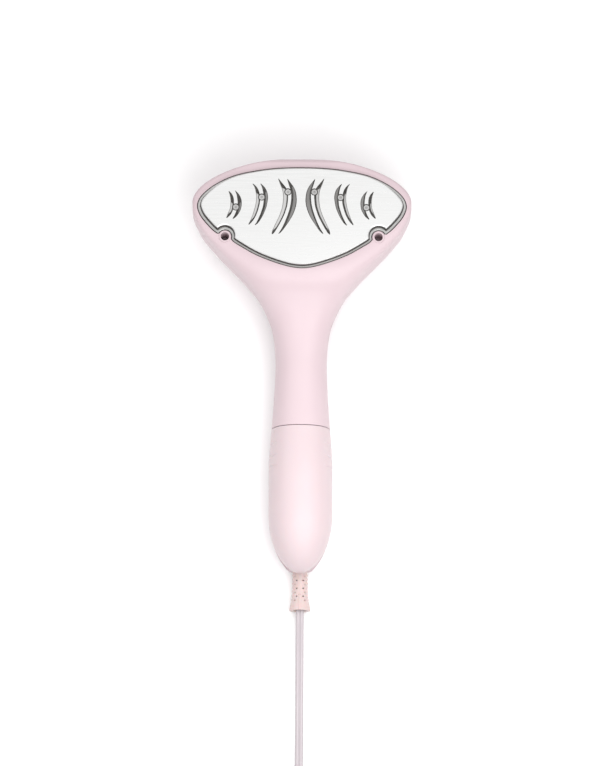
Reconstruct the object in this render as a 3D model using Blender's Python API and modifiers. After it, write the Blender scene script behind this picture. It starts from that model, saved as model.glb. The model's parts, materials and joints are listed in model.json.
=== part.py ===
"""Handheld garment steamer, lying on its back with the steam plate facing up.

Metres, +Z up. The object's length runs along Y: the head is at +Y, the handle and the mains
lead at -Y. Along that length a place is given as its distance from the top of the head, and
y_at() turns that distance into Y.
"""

import math

import bmesh
import bpy
from mathutils import Matrix, Vector

# Driving dimensions of the body.
LENGTH_OVERALL = 0.2675
Y_TOP = LENGTH_OVERALL / 2
HEAD_HALF_WIDTH = 0.0657
HEAD_TOP_LENGTH = 0.0265
HEAD_HEIGHT = 0.0570
TANK_END = 0.2475
TANK_NOSE_LENGTH = 0.0355
TANK_NOSE_POWER = 0.57
TANK_HALF_WIDTH = 0.0191
TANK_HEIGHT = 0.0430
NOSE_Z = 0.0245
SEAM = 0.1602
SPINE_END = 0.2435
SPINE_TOP_Z = 0.0137
SHELL_WALL = 0.0022
TANK_WALL = 0.0018
GAP = 0.0003

# Curves of the body behind the rounded top of the head, as (distance from the top, value).
HALF_WIDTH = (
    (HEAD_TOP_LENGTH, HEAD_HALF_WIDTH), (0.0305, 0.0657), (0.0423, 0.0614), (0.0520, 0.0537),
    (0.0724, 0.0337), (0.0811, 0.0263), (0.0900, 0.0213), (0.0994, 0.0177), (0.1087, 0.0161),
    (0.1210, 0.0154), (0.1376, 0.0160), (0.1570, 0.0173), (0.1840, TANK_HALF_WIDTH),
)
FRONT_Z = (
    (0.0040, HEAD_HEIGHT), (0.0665, HEAD_HEIGHT), (0.0740, 0.0554), (0.0820, 0.0502),
    (0.0920, 0.0453), (0.1040, 0.0416), (0.1200, 0.0400), (0.1350, 0.0400), (0.1600, 0.0411),
    (0.1900, TANK_HEIGHT),
)
BACK_Z = (
    (0.0300, -0.0015), (0.0480, -0.0015), (0.0600, 0.0006), (0.0800, 0.0036), (0.1000, 0.0061),
    (0.1200, 0.0071), (0.1400, 0.0062), (0.1600, 0.0032), (0.1780, 0.0002), (0.1920, -0.0008),
    (0.2150, -0.0008), (SPINE_END, 0.0012),
)
WIDEST_Z = (
    (0.0, 0.0440), (0.0360, 0.0440), (0.0724, 0.0370), (0.0994, 0.0265), (0.1210, 0.0230),
    (0.1600, 0.0225), (0.2120, 0.0235), (TANK_END, NOSE_Z),
)
FRONT_SQUARENESS = (
    (0.0, 13.0), (0.0440, 13.0), (0.0590, 8.0), (0.0690, 4.8), (0.0820, 3.2), (0.1000, 2.5),
    (0.1250, 2.2),
)
BACK_SQUARENESS = ((0.0, 3.0), (0.0600, 3.0), (0.1200, 2.6), (0.2000, 2.6), (SPINE_END, 3.2))
HEAD_TOP_SQUARENESS = (1.8, 1.9)
HEAD_TOP_FRONT_Z = 0.0505
HEAD_TOP_BACK_Z = 0.0360
HEAD_BACK_LENGTH = 0.0300

# Steam plate: the right half of its edge, above and below the notch at the screw boss, as
# (x, distance from the top of the head).
PLATE_UPPER_EDGE = (
    (0.0, 0.0066), (0.0100, 0.0068), (0.0200, 0.0076), (0.0290, 0.0090), (0.0370, 0.0107),
    (0.0430, 0.0127), (0.0480, 0.0150), (0.0525, 0.0176), (0.0562, 0.0203), (0.0591, 0.0230),
    (0.0612, 0.0257), (0.0622, 0.0282), (0.0625, 0.0304), (0.0618, 0.0334), (0.0600, 0.0370),
    (0.0570, 0.0408), (0.0535, 0.0446), (0.0510, 0.0466),
)
PLATE_LOWER_EDGE = (
    (0.0405, 0.0522), (0.0362, 0.0549), (0.0280, 0.0596), (0.0190, 0.0634), (0.0098, 0.0664),
    (0.0040, 0.0676), (0.0, 0.0679),
)
# The right half of the steam chamber's edge, clear of the screw bosses.
CHAMBER_EDGE = (
    (0.0, 0.0100), (0.0180, 0.0108), (0.0340, 0.0138), (0.0440, 0.0182), (0.0510, 0.0240),
    (0.0530, 0.0292), (0.0500, 0.0345), (0.0430, 0.0398), (0.0370, 0.0460), (0.0290, 0.0530),
    (0.0190, 0.0585), (0.0090, 0.0625), (0.0, 0.0638),
)
PLATE_FACE_Z = 0.0600
PLATE_RIM_Z = 0.0570
PLATE_BASE_Z = 0.0552
PLATE_SHEET = 0.0015
PLATE_APERTURE_GAP = 0.0004
BOSS_X, BOSS_AT = 0.0460, 0.0490
BOSS_RADIUS = 0.0034
NOTCH_RADIUS = 0.0042
NOTCH_FROM, NOTCH_TO = math.radians(-60.0), math.radians(-196.0)
RECESS_DEPTH = 0.0008
STEAM_HOLE_RADIUS = 0.0007
# Each crescent recess, as (x, distance from the top of the head): its steam hole, the outer and
# inner corners of its upper end, those of its lower end, and the innermost point of its bulge.
CRESCENTS = (
    (
        (0.0076, 0.0220), (0.0131, 0.0141), (0.0078, 0.0146),
        (0.0168, 0.0480), (0.0128, 0.0474), (0.0022, 0.0272),
    ),
    (
        (0.0233, 0.0253), (0.0285, 0.0173), (0.0236, 0.0173),
        (0.0308, 0.0422), (0.0269, 0.0423), (0.0192, 0.0255),
    ),
    (
        (0.0388, 0.0315), (0.0429, 0.0221), (0.0389, 0.0216),
        (0.0442, 0.0382), (0.0404, 0.0386), (0.0351, 0.0285),
    ),
)
CRESCENT_WIDTH_SHARE = 0.74
CRESCENT_HOLLOW_SHIFT = 0.0012
# The crescents on the left stand this much further from the middle line than those on the right.
CRESCENT_LEFT_SHIFT = 0.0010

# Things inside and under the body.
HEATER_LOW_Z, HEATER_TOP_Z = 0.0440, 0.0560
INLET_Z = 0.0492
SEAL_TOP_Z = 0.0582
ELEMENT_RADIUS = 0.0032
SHIELD_Z = 0.0300
PUMP_Z = 0.0284
BOARD_Z = 0.0167
SWITCH_LOW_Z = 0.0130
BUTTON_FACE_Z = 0.0045
BUTTON_TOP_Z = 0.0115
BUTTON_RADIUS, BUTTON_FLANGE_RADIUS = 0.0048, 0.0062
BUTTON_PLAY = 0.0004
STEAM_BUTTON_STRAIGHT = 0.0060
LENS_RADIUS = 0.0014
STEAM_BUTTON_AT, POWER_BUTTON_AT, LENS_AT = 0.1120, 0.1420, 0.1285
NIPPLE_Z, CAP_Z = 0.0205, 0.0320
FILTER_Z = 0.0196
LEAD_Z = 0.0074
DECK_THICKNESS = 0.0018
CLAMP_AT, CLAMP_SCREW_X, CLAMP_HALF_WIDTH = 0.2220, 0.0065, 0.0090
CLAMP_POST_RADIUS, CLAMP_PILOT_RADIUS = 0.0022, 0.0013
HEAD_SCREW_POST_Z = 0.0245
HEAD_POST_RADIUS, HEAD_WELL_RADIUS, HEAD_PILOT_RADIUS = 0.0040, 0.0032, 0.0018
BOSS_HOLE_RADIUS, BOSS_HOLE_FLOOR_Z = 0.0025, 0.0430
NECK_SCREW_X, NECK_SCREW_AT = 0.0125, 0.0880
NECK_POST_RADIUS, NECK_WELL_RADIUS, NECK_PILOT_RADIUS = 0.0034, 0.0026, 0.0016
HOSE_RADIUS = 0.0024

# The free mains lead, which lies on the surface the steamer rests on.
CORD_RADIUS = 0.0026
RELIEF_FROM, RELIEF_TO = 0.2437, 0.2675
RELIEF_NECK_RADIUS = 0.0031
COIL_TURN_RADIUS = 0.0285
COIL_HALF_DEPTH = 0.0085
COIL_LOW_Z, COIL_HEIGHT = 0.0016, 0.0140
COIL_CENTRE = (-0.0290, 0.4150)
PLUG_LENGTH, PLUG_HALF_WIDTH, PLUG_HALF_HEIGHT = 0.0320, 0.0115, 0.0075
PLUG_BLADE_SPACING = 0.0127

COLOURS = {
    "shell": ((0.93, 0.80, 0.83, 1.0), 0.45, 0.0),
    "tank": ((0.94, 0.81, 0.82, 1.0), 0.40, 0.0),
    "steel": ((0.78, 0.78, 0.77, 1.0), 0.22, 1.0),
    "fastener": ((0.62, 0.62, 0.63, 1.0), 0.35, 1.0),
    "aluminium": ((0.62, 0.63, 0.64, 1.0), 0.50, 1.0),
    "copper": ((0.72, 0.42, 0.26, 1.0), 0.40, 1.0),
    "silicone": ((0.82, 0.80, 0.78, 1.0), 0.60, 0.0),
    "black_plastic": ((0.05, 0.05, 0.05, 1.0), 0.50, 0.0),
    "white_plastic": ((0.85, 0.84, 0.82, 1.0), 0.45, 0.0),
    "board": ((0.06, 0.22, 0.11, 1.0), 0.50, 0.0),
    "relief": ((0.91, 0.66, 0.65, 1.0), 0.45, 0.0),
    "cord": ((0.93, 0.85, 0.88, 1.0), 0.35, 0.0),
    "plug": ((0.93, 0.85, 0.88, 1.0), 0.40, 0.0),
    "tie": ((0.91, 0.66, 0.65, 1.0), 0.50, 0.0),
    "lens": ((0.95, 0.90, 0.85, 1.0), 0.15, 0.0),
}

CYLINDER_SIDES = 20
SMALL_SIDES = 12


# ---------------------------------------------------------------- scene helpers
def clear_scene():
    for obj in list(bpy.data.objects):
        bpy.data.objects.remove(obj, do_unlink=True)


def new_collection(name, hidden=False):
    collection = bpy.data.collections.new(name)
    bpy.context.scene.collection.children.link(collection)
    collection.hide_render = hidden
    return collection


def material(name):
    found = bpy.data.materials.get(name)
    if found:
        return found
    colour, roughness, metallic = COLOURS[name]
    made = bpy.data.materials.new(name)
    made.use_nodes = True
    shader = made.node_tree.nodes["Principled BSDF"]
    shader.inputs["Base Color"].default_value = colour
    shader.inputs["Roughness"].default_value = roughness
    shader.inputs["Metallic"].default_value = metallic
    made.diffuse_color = colour
    return made


clear_scene()
PARTS = new_collection("garment_steamer")
CUTTERS = new_collection("cutters", hidden=True)


def y_at(distance):
    """Y of a place this far from the top of the head."""
    return Y_TOP - distance


def at(x, distance, z):
    return Vector((x, y_at(distance), z))


def object_of(name, bm, finish, sharp=math.radians(35)):
    """A part made of this mesh, or a cutter where finish is None."""
    bmesh.ops.recalc_face_normals(bm, faces=bm.faces)
    mesh = bpy.data.meshes.new(name)
    bm.to_mesh(mesh)
    bm.free()
    if finish:
        mesh.shade_smooth()
        mesh.set_sharp_from_angle(angle=sharp)
        mesh.materials.append(material(finish))
    obj = bpy.data.objects.new(name, mesh)
    (PARTS if finish else CUTTERS).objects.link(obj)
    if not finish:
        obj.hide_render = True
        obj.display_type = "WIRE"
    return obj


def boolean(obj, operation, other):
    modifier = obj.modifiers.new(operation.lower() + "_" + other.name, "BOOLEAN")
    modifier.operation = operation
    modifier.solver = "EXACT"
    modifier.object = other


def cut(obj, *cutters):
    for cutter in cutters:
        boolean(obj, "DIFFERENCE", cutter)


def add(obj, *others):
    for other in others:
        boolean(obj, "UNION", other)


def keep(obj, region):
    boolean(obj, "INTERSECT", region)


# ---------------------------------------------------------------- shape helpers
def cylinder(name, start, end, radius, finish=None, sides=CYLINDER_SIDES, end_radius=None):
    start, end = Vector(start), Vector(end)
    along = end - start
    bm = bmesh.new()
    bmesh.ops.create_cone(
        bm, cap_ends=True, segments=sides, radius1=radius,
        radius2=radius if end_radius is None else end_radius, depth=along.length,
    )
    turn = Vector((0, 0, 1)).rotation_difference(along.normalized()).to_matrix().to_4x4()
    bmesh.ops.transform(bm, matrix=Matrix.Translation((start + end) / 2) @ turn, verts=bm.verts)
    return object_of(name, bm, finish)


def block(name, low, high, finish=None, bevel=0.0):
    low, high = Vector(low), Vector(high)
    bm = bmesh.new()
    bmesh.ops.create_cube(bm, size=1.0)
    size = high - low
    bmesh.ops.transform(
        bm, matrix=Matrix.Translation((low + high) / 2) @ Matrix.Diagonal((*size, 1.0)), verts=bm.verts
    )
    obj = object_of(name, bm, finish)
    if bevel:
        modifier = obj.modifiers.new("rounded_edges", "BEVEL")
        modifier.width = bevel
        modifier.segments = 2
    return obj


def tube(name, points, radius, finish, sides_resolution=2):
    curve = bpy.data.curves.new(name, "CURVE")
    curve.dimensions = "3D"
    spline = curve.splines.new("POLY")
    spline.points.add(len(points) - 1)
    for point, place in zip(spline.points, points):
        point.co = (*place, 1.0)
    curve.bevel_depth = radius
    curve.bevel_resolution = sides_resolution
    curve.use_fill_caps = True
    curve.materials.append(material(finish))
    obj = bpy.data.objects.new(name, curve)
    PARTS.objects.link(obj)
    return obj


def turned(name, profile, place, along, finish, steps=CYLINDER_SIDES):
    """A solid turned about the line through place: profile is closed, as (radius, distance along)."""
    mesh = bpy.data.meshes.new(name)
    count = len(profile)
    open_profile = profile[0][0] == 0.0
    edges = [(i, i + 1) for i in range(count - 1)]
    if not open_profile:
        edges.append((count - 1, 0))
    mesh.from_pydata([(radius, 0.0, height) for radius, height in profile], edges, [])
    mesh.materials.append(material(finish))
    obj = bpy.data.objects.new(name, mesh)
    PARTS.objects.link(obj)
    obj.location = place
    obj.rotation_euler = Vector((0, 0, 1)).rotation_difference(Vector(along)).to_euler()
    screw = obj.modifiers.new("turn", "SCREW")
    screw.axis = "Z"
    screw.steps = screw.render_steps = steps
    screw.use_merge_vertices = True
    screw.merge_threshold = 0.00001
    screw.use_smooth_shade = True
    return obj


def loft(name, rings, finish=None, closed=False):
    """Rings of equal count joined in order, with the first and last capped unless closed."""
    bm = bmesh.new()
    rows = [[bm.verts.new(point) for point in ring] for ring in rings]
    pairs = list(zip(rows, rows[1:]))
    if closed:
        pairs.append((rows[-1], rows[0]))
    for first, second in pairs:
        for i in range(len(first)):
            j = (i + 1) % len(first)
            bm.faces.new((first[i], first[j], second[j], second[i]))
    if not closed:
        bm.faces.new(rows[0])
        bm.faces.new(rows[-1])
    return object_of(name, bm, finish)


def smooth(keys, t):
    """A curve through the keys with no overshoot: a cubic with limited slopes."""
    if t <= keys[0][0]:
        return keys[0][1]
    if t >= keys[-1][0]:
        return keys[-1][1]
    slopes = [(b[1] - a[1]) / (b[0] - a[0]) for a, b in zip(keys, keys[1:])]
    span = max(i for i in range(len(keys) - 1) if keys[i][0] <= t)

    def tangent(i):
        if i in (0, len(keys) - 1):
            return 0.0
        before, after = slopes[i - 1], slopes[i]
        return 0.0 if before * after <= 0 else 2 * before * after / (before + after)

    (t0, v0), (t1, v1) = keys[span], keys[span + 1]
    width = t1 - t0
    u = (t - t0) / width
    return (
        v0 * (1 + 2 * u) * (1 - u) ** 2 + v1 * u * u * (3 - 2 * u)
        + width * (tangent(span) * u * (1 - u) ** 2 - tangent(span + 1) * u * u * (1 - u))
    )


def spline(points, steps):
    """A smooth curve through the points, with this many steps between each two."""
    points = [Vector(p) for p in points]
    padded = [2 * points[0] - points[1], *points, 2 * points[-1] - points[-2]]
    found = []
    for i in range(1, len(padded) - 2):
        a, b, c, d = padded[i - 1 : i + 3]
        for k in range(steps):
            u = k / steps
            found.append(
                0.5 * (2 * b + (c - a) * u + (2 * a - 5 * b + 4 * c - d) * u * u
                       + (3 * b - a - 3 * c + d) * u ** 3)
            )
    return [*found, points[-1]]


# ---------------------------------------------------------------- form of the body
def nose_share(t):
    """1 along the body, falling to 0 round the tank's end, a little more pointed than an ellipse."""
    u = (t - (TANK_END - TANK_NOSE_LENGTH)) / TANK_NOSE_LENGTH
    return max(0.0, 1 - u * u) ** TANK_NOSE_POWER if u > 0 else 1.0


def half_width(t):
    if t < HEAD_TOP_LENGTH:
        p, q = HEAD_TOP_SQUARENESS
        return HEAD_HALF_WIDTH * (1 - (1 - (t + 0.0002) / (HEAD_TOP_LENGTH + 0.0002)) ** p) ** (1 / q)
    return smooth(HALF_WIDTH, t) * nose_share(t)


def front_z(t):
    if t < FRONT_Z[0][0]:
        u = 1 - t / FRONT_Z[0][0]
        return HEAD_TOP_FRONT_Z + (HEAD_HEIGHT - HEAD_TOP_FRONT_Z) * math.sqrt(1 - u * u)
    return NOSE_Z + (smooth(FRONT_Z, t) - NOSE_Z) * nose_share(t)


def back_z(t, nose=False):
    if t < HEAD_BACK_LENGTH:
        u = 1 - t / HEAD_BACK_LENGTH
        low = BACK_Z[0][1]
        return HEAD_TOP_BACK_Z - (HEAD_TOP_BACK_Z - low) * math.sqrt(1 - u * u)
    z = smooth(BACK_Z, t)
    return NOSE_Z + (z - NOSE_Z) * nose_share(t) if nose else z


def section(t, inset, half_points, nose=False):
    """One closed section of the body, drawn in by inset along the surface's normal."""

    def drawn_in(value, sign):
        step = 0.0002
        slope = (value(t + step) - value(t - step)) / (2 * step)
        return value(t) - sign * inset * math.sqrt(1 + min(slope * slope, 25.0))

    a = drawn_in(half_width, 1) if inset else half_width(t)
    top = drawn_in(front_z, 1) if inset else front_z(t)
    bottom = drawn_in(lambda v: back_z(v, nose), -1) if inset else back_z(t, nose)
    middle = smooth(WIDEST_Z, t)
    ring = []
    for i in range(2 * half_points):
        angle = math.pi * i / half_points
        upper = i <= half_points
        power = 2 / smooth(FRONT_SQUARENESS if upper else BACK_SQUARENESS, t)
        reach = top - middle if upper else middle - bottom
        x = a * math.copysign(abs(math.cos(angle)) ** power, math.cos(angle))
        z = middle + reach * math.copysign(abs(math.sin(angle)) ** power, math.sin(angle))
        ring.append((x, y_at(t), max(z, inset)))
    return ring


def body_form(name, stations, inset=0.0, half_points=14, nose=False, finish=None):
    return loft(name, [section(t, inset, half_points, nose) for t in stations], finish)


def prism(name, outline, half_length):
    """A cutter: an outline of (distance, z) pushed both ways along X."""
    rings = [[at(side * half_length, t, z) for t, z in outline] for side in (-1, 1)]
    return loft(name, rings)


HEAD_STATIONS = (
    0.0, 0.0008, 0.0026, 0.0056, 0.0100, 0.0160, 0.0225, 0.0300, 0.0375, 0.0450, 0.0520, 0.0590,
    0.0660, 0.0730, 0.0810, 0.0900, 0.0994, 0.1100, 0.1230, 0.1360, 0.1480,
)
BODY_STATIONS = HEAD_STATIONS + (
    SEAM, 0.1720, 0.1850, 0.2000, 0.2150, 0.2240, 0.2320, 0.2380, SPINE_END,
)
CAVITY_STATIONS = (
    0.0030, 0.0056, 0.0100, 0.0160, 0.0225, 0.0300, 0.0450, 0.0590, 0.0660, 0.0730, 0.0810, 0.0900,
    0.0994, 0.1100, 0.1230, 0.1360, 0.1480, 0.1602, 0.1720, 0.1850, 0.2000, 0.2150, 0.2240, 0.2320,
    0.2380, 0.2412,
)
TANK_STATIONS = (
    0.1606, 0.1720, 0.1850, 0.2000, 0.2120, 0.2220, 0.2300, 0.2365, 0.2415, 0.2448, 0.2467, 0.2473,
)
TANK_CAVITY_STATIONS = (
    0.1636, 0.1720, 0.1850, 0.2000, 0.2120, 0.2220, 0.2300, 0.2365, 0.2410, 0.2436,
)
# Places along the joint between the two shells. It runs on past the head and ends at the tank.
PARTING_STATIONS = (-0.0100, 0.0360, 0.0500, 0.0724, 0.0860, 0.0994, 0.1100, 0.1210, SEAM)
REGION_REACH = 0.0900


# ---------------------------------------------------------------- form of the steam plate
def plate_half_outline():
    """The right half of the plate's flange, from its top centre round to its lowest point."""
    notch = []
    steps = 8
    for i in range(steps + 1):
        angle = NOTCH_FROM + (NOTCH_TO - NOTCH_FROM) * i / steps
        notch.append((BOSS_X + NOTCH_RADIUS * math.cos(angle), BOSS_AT + NOTCH_RADIUS * math.sin(angle)))
    return [*PLATE_UPPER_EDGE, *notch, *PLATE_LOWER_EDGE]


def both_sides(half):
    """A closed outline from its right half, which starts and ends on the middle line."""
    return [*half, *[(-x, t) for x, t in reversed(half[1:-1])]]


def plate_outline(inset=0.0):
    """The whole outline as (x, distance), drawn in by inset along each corner's bisector."""
    whole = both_sides(plate_half_outline())
    points = []
    for i, (x, t) in enumerate(whole):
        before, after = Vector(whole[i - 1]), Vector(whole[(i + 1) % len(whole)])
        here = Vector((x, t))
        first, second = (here - before).normalized(), (after - here).normalized()
        bisector = Vector((-first.y - second.y, first.x + second.x)).normalized()
        reach = inset / max(0.6, bisector.dot(Vector((-first.y, first.x))))
        points.append(here + bisector * reach)
    return points


def ring_at(outline, z, scale=(1.0, 1.0), centre=0.0300):
    return [at(x * scale[0], centre + (t - centre) * scale[1], z) for x, t in outline]


def crescent_x(side, x):
    """X of a place on a crescent: CRESCENTS holds those on the right, and the left ones mirror them."""
    return x if side > 0 else -x - CRESCENT_LEFT_SHIFT


def crescent_cutter(index, side):
    """The recess between a crescent's bulged edge and its hollow edge, as a shallow prism."""
    _, upper_out, upper_in, lower_out, lower_in, bulge = CRESCENTS[index]
    width = CRESCENT_WIDTH_SHARE * (upper_out[0] - bulge[0])
    hollow = (bulge[0] + width, bulge[1] + CRESCENT_HOLLOW_SHIFT)
    edge = spline([(*p, 0.0) for p in (upper_in, bulge, lower_in)], 4)
    inner = spline([(*p, 0.0) for p in (lower_out, hollow, upper_out)], 4)
    outline = [(crescent_x(side, p.x), p.y) for p in (*edge, *inner)]
    low, high = PLATE_FACE_Z - RECESS_DEPTH, PLATE_FACE_Z + 0.0010
    return loft(f"crescent_{index}_{side}", [ring_at(outline, low), ring_at(outline, high)])


def steam_plate():
    base = plate_outline()
    rings = [
        ring_at(plate_outline(0.0030), PLATE_FACE_Z - PLATE_SHEET),
        ring_at(plate_outline(0.0026), PLATE_BASE_Z),
        ring_at(base, PLATE_BASE_Z),
        ring_at(base, PLATE_RIM_Z),
        ring_at(plate_outline(0.0010), PLATE_RIM_Z),
        ring_at(plate_outline(0.0016), PLATE_FACE_Z),
    ]
    plate = loft("steam_plate", rings, "steel")
    for side in (-1, 1):
        for index, crescent in enumerate(CRESCENTS):
            x, t = crescent_x(side, crescent[0][0]), crescent[0][1]
            hole = cylinder(f"steam_hole_{index}_{side}", at(x, t, 0.0570), at(x, t, 0.0610),
                            STEAM_HOLE_RADIUS, sides=8)
            cut(plate, crescent_cutter(index, side), hole)
    return plate


# ---------------------------------------------------------------- shells
def parting_line(offset):
    """The joint between the two shells, seen from the side, as (distance, z)."""
    return [(t, smooth(WIDEST_Z, t) + offset) for t in PARTING_STATIONS]


def front_shell():
    shell = body_form("front_shell", HEAD_STATIONS + (SEAM,), finish="shell")
    joint = parting_line(GAP / 2)
    past_seam = SEAM + 0.0100
    region = prism("front_region", [
        *joint, (past_seam, joint[-1][1]), (past_seam, REGION_REACH), (joint[0][0], REGION_REACH),
    ], REGION_REACH)
    keep(shell, region)
    cut(shell, body_form("front_cavity", CAVITY_STATIONS[:18], SHELL_WALL, 10))
    aperture = plate_outline(-PLATE_APERTURE_GAP)
    cut(shell, loft("aperture", [ring_at(aperture, 0.050), ring_at(aperture, 0.065)]))
    for side in (-1, 1):
        x = side * BOSS_X
        add(shell, cylinder(f"boss_{side}", at(x, BOSS_AT, HEAD_SCREW_POST_Z + GAP),
                            at(x, BOSS_AT, HEAD_HEIGHT - 0.0001), BOSS_RADIUS))
        cut(
            shell,
            cylinder(f"boss_hole_{side}", at(x, BOSS_AT, BOSS_HOLE_FLOOR_Z),
                     at(x, BOSS_AT, 0.0600), BOSS_HOLE_RADIUS),
            cylinder(f"boss_pilot_{side}", at(x, BOSS_AT, 0.0200), at(x, BOSS_AT, 0.0370),
                     HEAD_PILOT_RADIUS, sides=12),
        )
        x = side * NECK_SCREW_X
        add(shell, cylinder(f"neck_post_{side}", at(x, NECK_SCREW_AT, 0.0250),
                            at(x, NECK_SCREW_AT, 0.0425), NECK_POST_RADIUS, sides=14))
        cut(shell, cylinder(f"neck_pilot_{side}", at(x, NECK_SCREW_AT, 0.0220),
                            at(x, NECK_SCREW_AT, 0.0370), NECK_PILOT_RADIUS, sides=12))
    return shell


def rear_shell():
    shell = body_form("rear_shell", BODY_STATIONS, finish="shell")
    joint = parting_line(-GAP / 2)
    past_end = SPINE_END + 0.0100
    region = prism("rear_region", [
        *joint, (SEAM, SPINE_TOP_Z), (past_end, SPINE_TOP_Z), (past_end, -0.0200),
        (joint[0][0], -0.0200),
    ], REGION_REACH)
    keep(shell, region)
    cut(shell, body_form("rear_cavity", CAVITY_STATIONS, SHELL_WALL, 10))
    post_limit = body_form("post_limit", CAVITY_STATIONS, SHELL_WALL / 2)
    for side in (-1, 1):
        x = side * BOSS_X
        head_post = cylinder(f"head_post_{side}", at(x, BOSS_AT, 0.0),
                             at(x, BOSS_AT, HEAD_SCREW_POST_Z), HEAD_POST_RADIUS)
        keep(head_post, post_limit)
        add(shell, head_post)
        cut(
            shell,
            cylinder(f"head_well_{side}", at(x, BOSS_AT, -0.0010), at(x, BOSS_AT, 0.0160),
                     HEAD_WELL_RADIUS),
            cylinder(f"head_clear_{side}", at(x, BOSS_AT, 0.0100), at(x, BOSS_AT, 0.0300),
                     HEAD_PILOT_RADIUS, sides=12),
        )
        x = side * NECK_SCREW_X
        neck_post = cylinder(f"rear_neck_post_{side}", at(x, NECK_SCREW_AT, 0.0),
                             at(x, NECK_SCREW_AT, 0.0247), NECK_POST_RADIUS, sides=14)
        keep(neck_post, post_limit)
        add(shell, neck_post)
        cut(
            shell,
            cylinder(f"neck_well_{side}", at(x, NECK_SCREW_AT, 0.0), at(x, NECK_SCREW_AT, 0.0150),
                     NECK_WELL_RADIUS, sides=14),
            cylinder(f"neck_clear_{side}", at(x, NECK_SCREW_AT, 0.0100), at(x, NECK_SCREW_AT, 0.0300),
                     NECK_PILOT_RADIUS, sides=12),
        )
        x = side * CLAMP_SCREW_X
        add(shell, cylinder(f"clamp_post_{side}", at(x, CLAMP_AT, 0.0012), at(x, CLAMP_AT, 0.0090),
                            CLAMP_POST_RADIUS, sides=12))
        cut(shell, cylinder(f"clamp_pilot_{side}", at(x, CLAMP_AT, 0.0045), at(x, CLAMP_AT, 0.0120),
                            CLAMP_PILOT_RADIUS, sides=12))
    cut(
        shell,
        oblong("steam_button_hole", STEAM_BUTTON_AT, STEAM_BUTTON_STRAIGHT, BUTTON_RADIUS + BUTTON_PLAY,
               0.0, 0.0200),
        cylinder("power_button_hole", at(0, POWER_BUTTON_AT, 0.0), at(0, POWER_BUTTON_AT, 0.0200),
                 BUTTON_RADIUS + BUTTON_PLAY),
        cylinder("lens_hole", at(0, LENS_AT, 0.0), at(0, LENS_AT, 0.0150),
                 LENS_RADIUS + BUTTON_PLAY, sides=12),
        cylinder("relief_hole", at(0, 0.2380, LEAD_Z), at(0, 0.2500, LEAD_Z),
                 RELIEF_NECK_RADIUS + BUTTON_PLAY, sides=16),
    )
    return shell


def oblong(name, t, half_straight, radius, low, high, finish=None):
    """A rounded slot shape, long along the body, standing between two heights."""
    steps = 6
    outline = []
    for end, start in ((-1, 0.0), (1, math.pi)):
        for i in range(steps + 1):
            angle = start + math.pi * i / steps
            outline.append((radius * math.cos(angle), t + end * half_straight - radius * math.sin(angle)))
    return loft(name, [ring_at(outline, low), ring_at(outline, high)], finish)


# ---------------------------------------------------------------- inside the head
def head_internals():
    chamber = both_sides(CHAMBER_EDGE)
    seal_low_z = HEATER_TOP_Z + GAP
    loft("plate_seal", [
        ring_at(chamber, seal_low_z, (0.98, 0.98)), ring_at(chamber, SEAL_TOP_Z, (0.98, 0.98)),
        ring_at(chamber, SEAL_TOP_Z, (0.92, 0.90)), ring_at(chamber, seal_low_z, (0.92, 0.90)),
    ], "silicone", closed=True)
    heater = loft("heater_block", [
        ring_at(chamber, HEATER_LOW_Z, (0.98, 0.98)), ring_at(chamber, HEATER_TOP_Z),
    ], "aluminium")
    add(heater, cylinder("heater_inlet", at(0, 0.0500, INLET_Z), at(0, 0.0690, INLET_Z),
                         HOSE_RADIUS, sides=12))
    cut(heater, block("steam_channel", at(-0.040, 0.0330, 0.0520), at(0.040, 0.0270, 0.0600)))
    z = HEATER_LOW_Z - GAP - ELEMENT_RADIUS
    half_route = [
        at(0.0400, 0.0260, z - 0.0060), at(0.0400, 0.0265, z - 0.0020), at(0.0385, 0.0300, z),
        at(0.0300, 0.0420, z), at(0.0150, 0.0500, z),
    ]
    left = [Vector((-p.x, p.y, p.z)) for p in half_route]
    route = [*left, at(0.0, 0.0525, z), *reversed(half_route)]
    tube("heating_element", spline(route, 2), ELEMENT_RADIUS, "fastener")
    turned("thermostat", [
        (0.0, 0.0), (0.0080, 0.0), (0.0080, 0.0045), (0.0060, 0.0050), (0.0060, 0.0092), (0.0, 0.0092),
    ][::-1], at(0, 0.0300, 0.0345), (0, 0, 1), "white_plastic")
    cylinder("thermal_fuse", at(-0.0060, 0.0445, 0.0410), at(0.0060, 0.0445, 0.0410), 0.0020,
             "fastener", 12)
    loft("heat_shield", [
        ring_at(chamber, z, (0.70, 0.90), 0.0340) for z in (SHIELD_Z, SHIELD_Z + 0.0015)
    ], "white_plastic")


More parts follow.
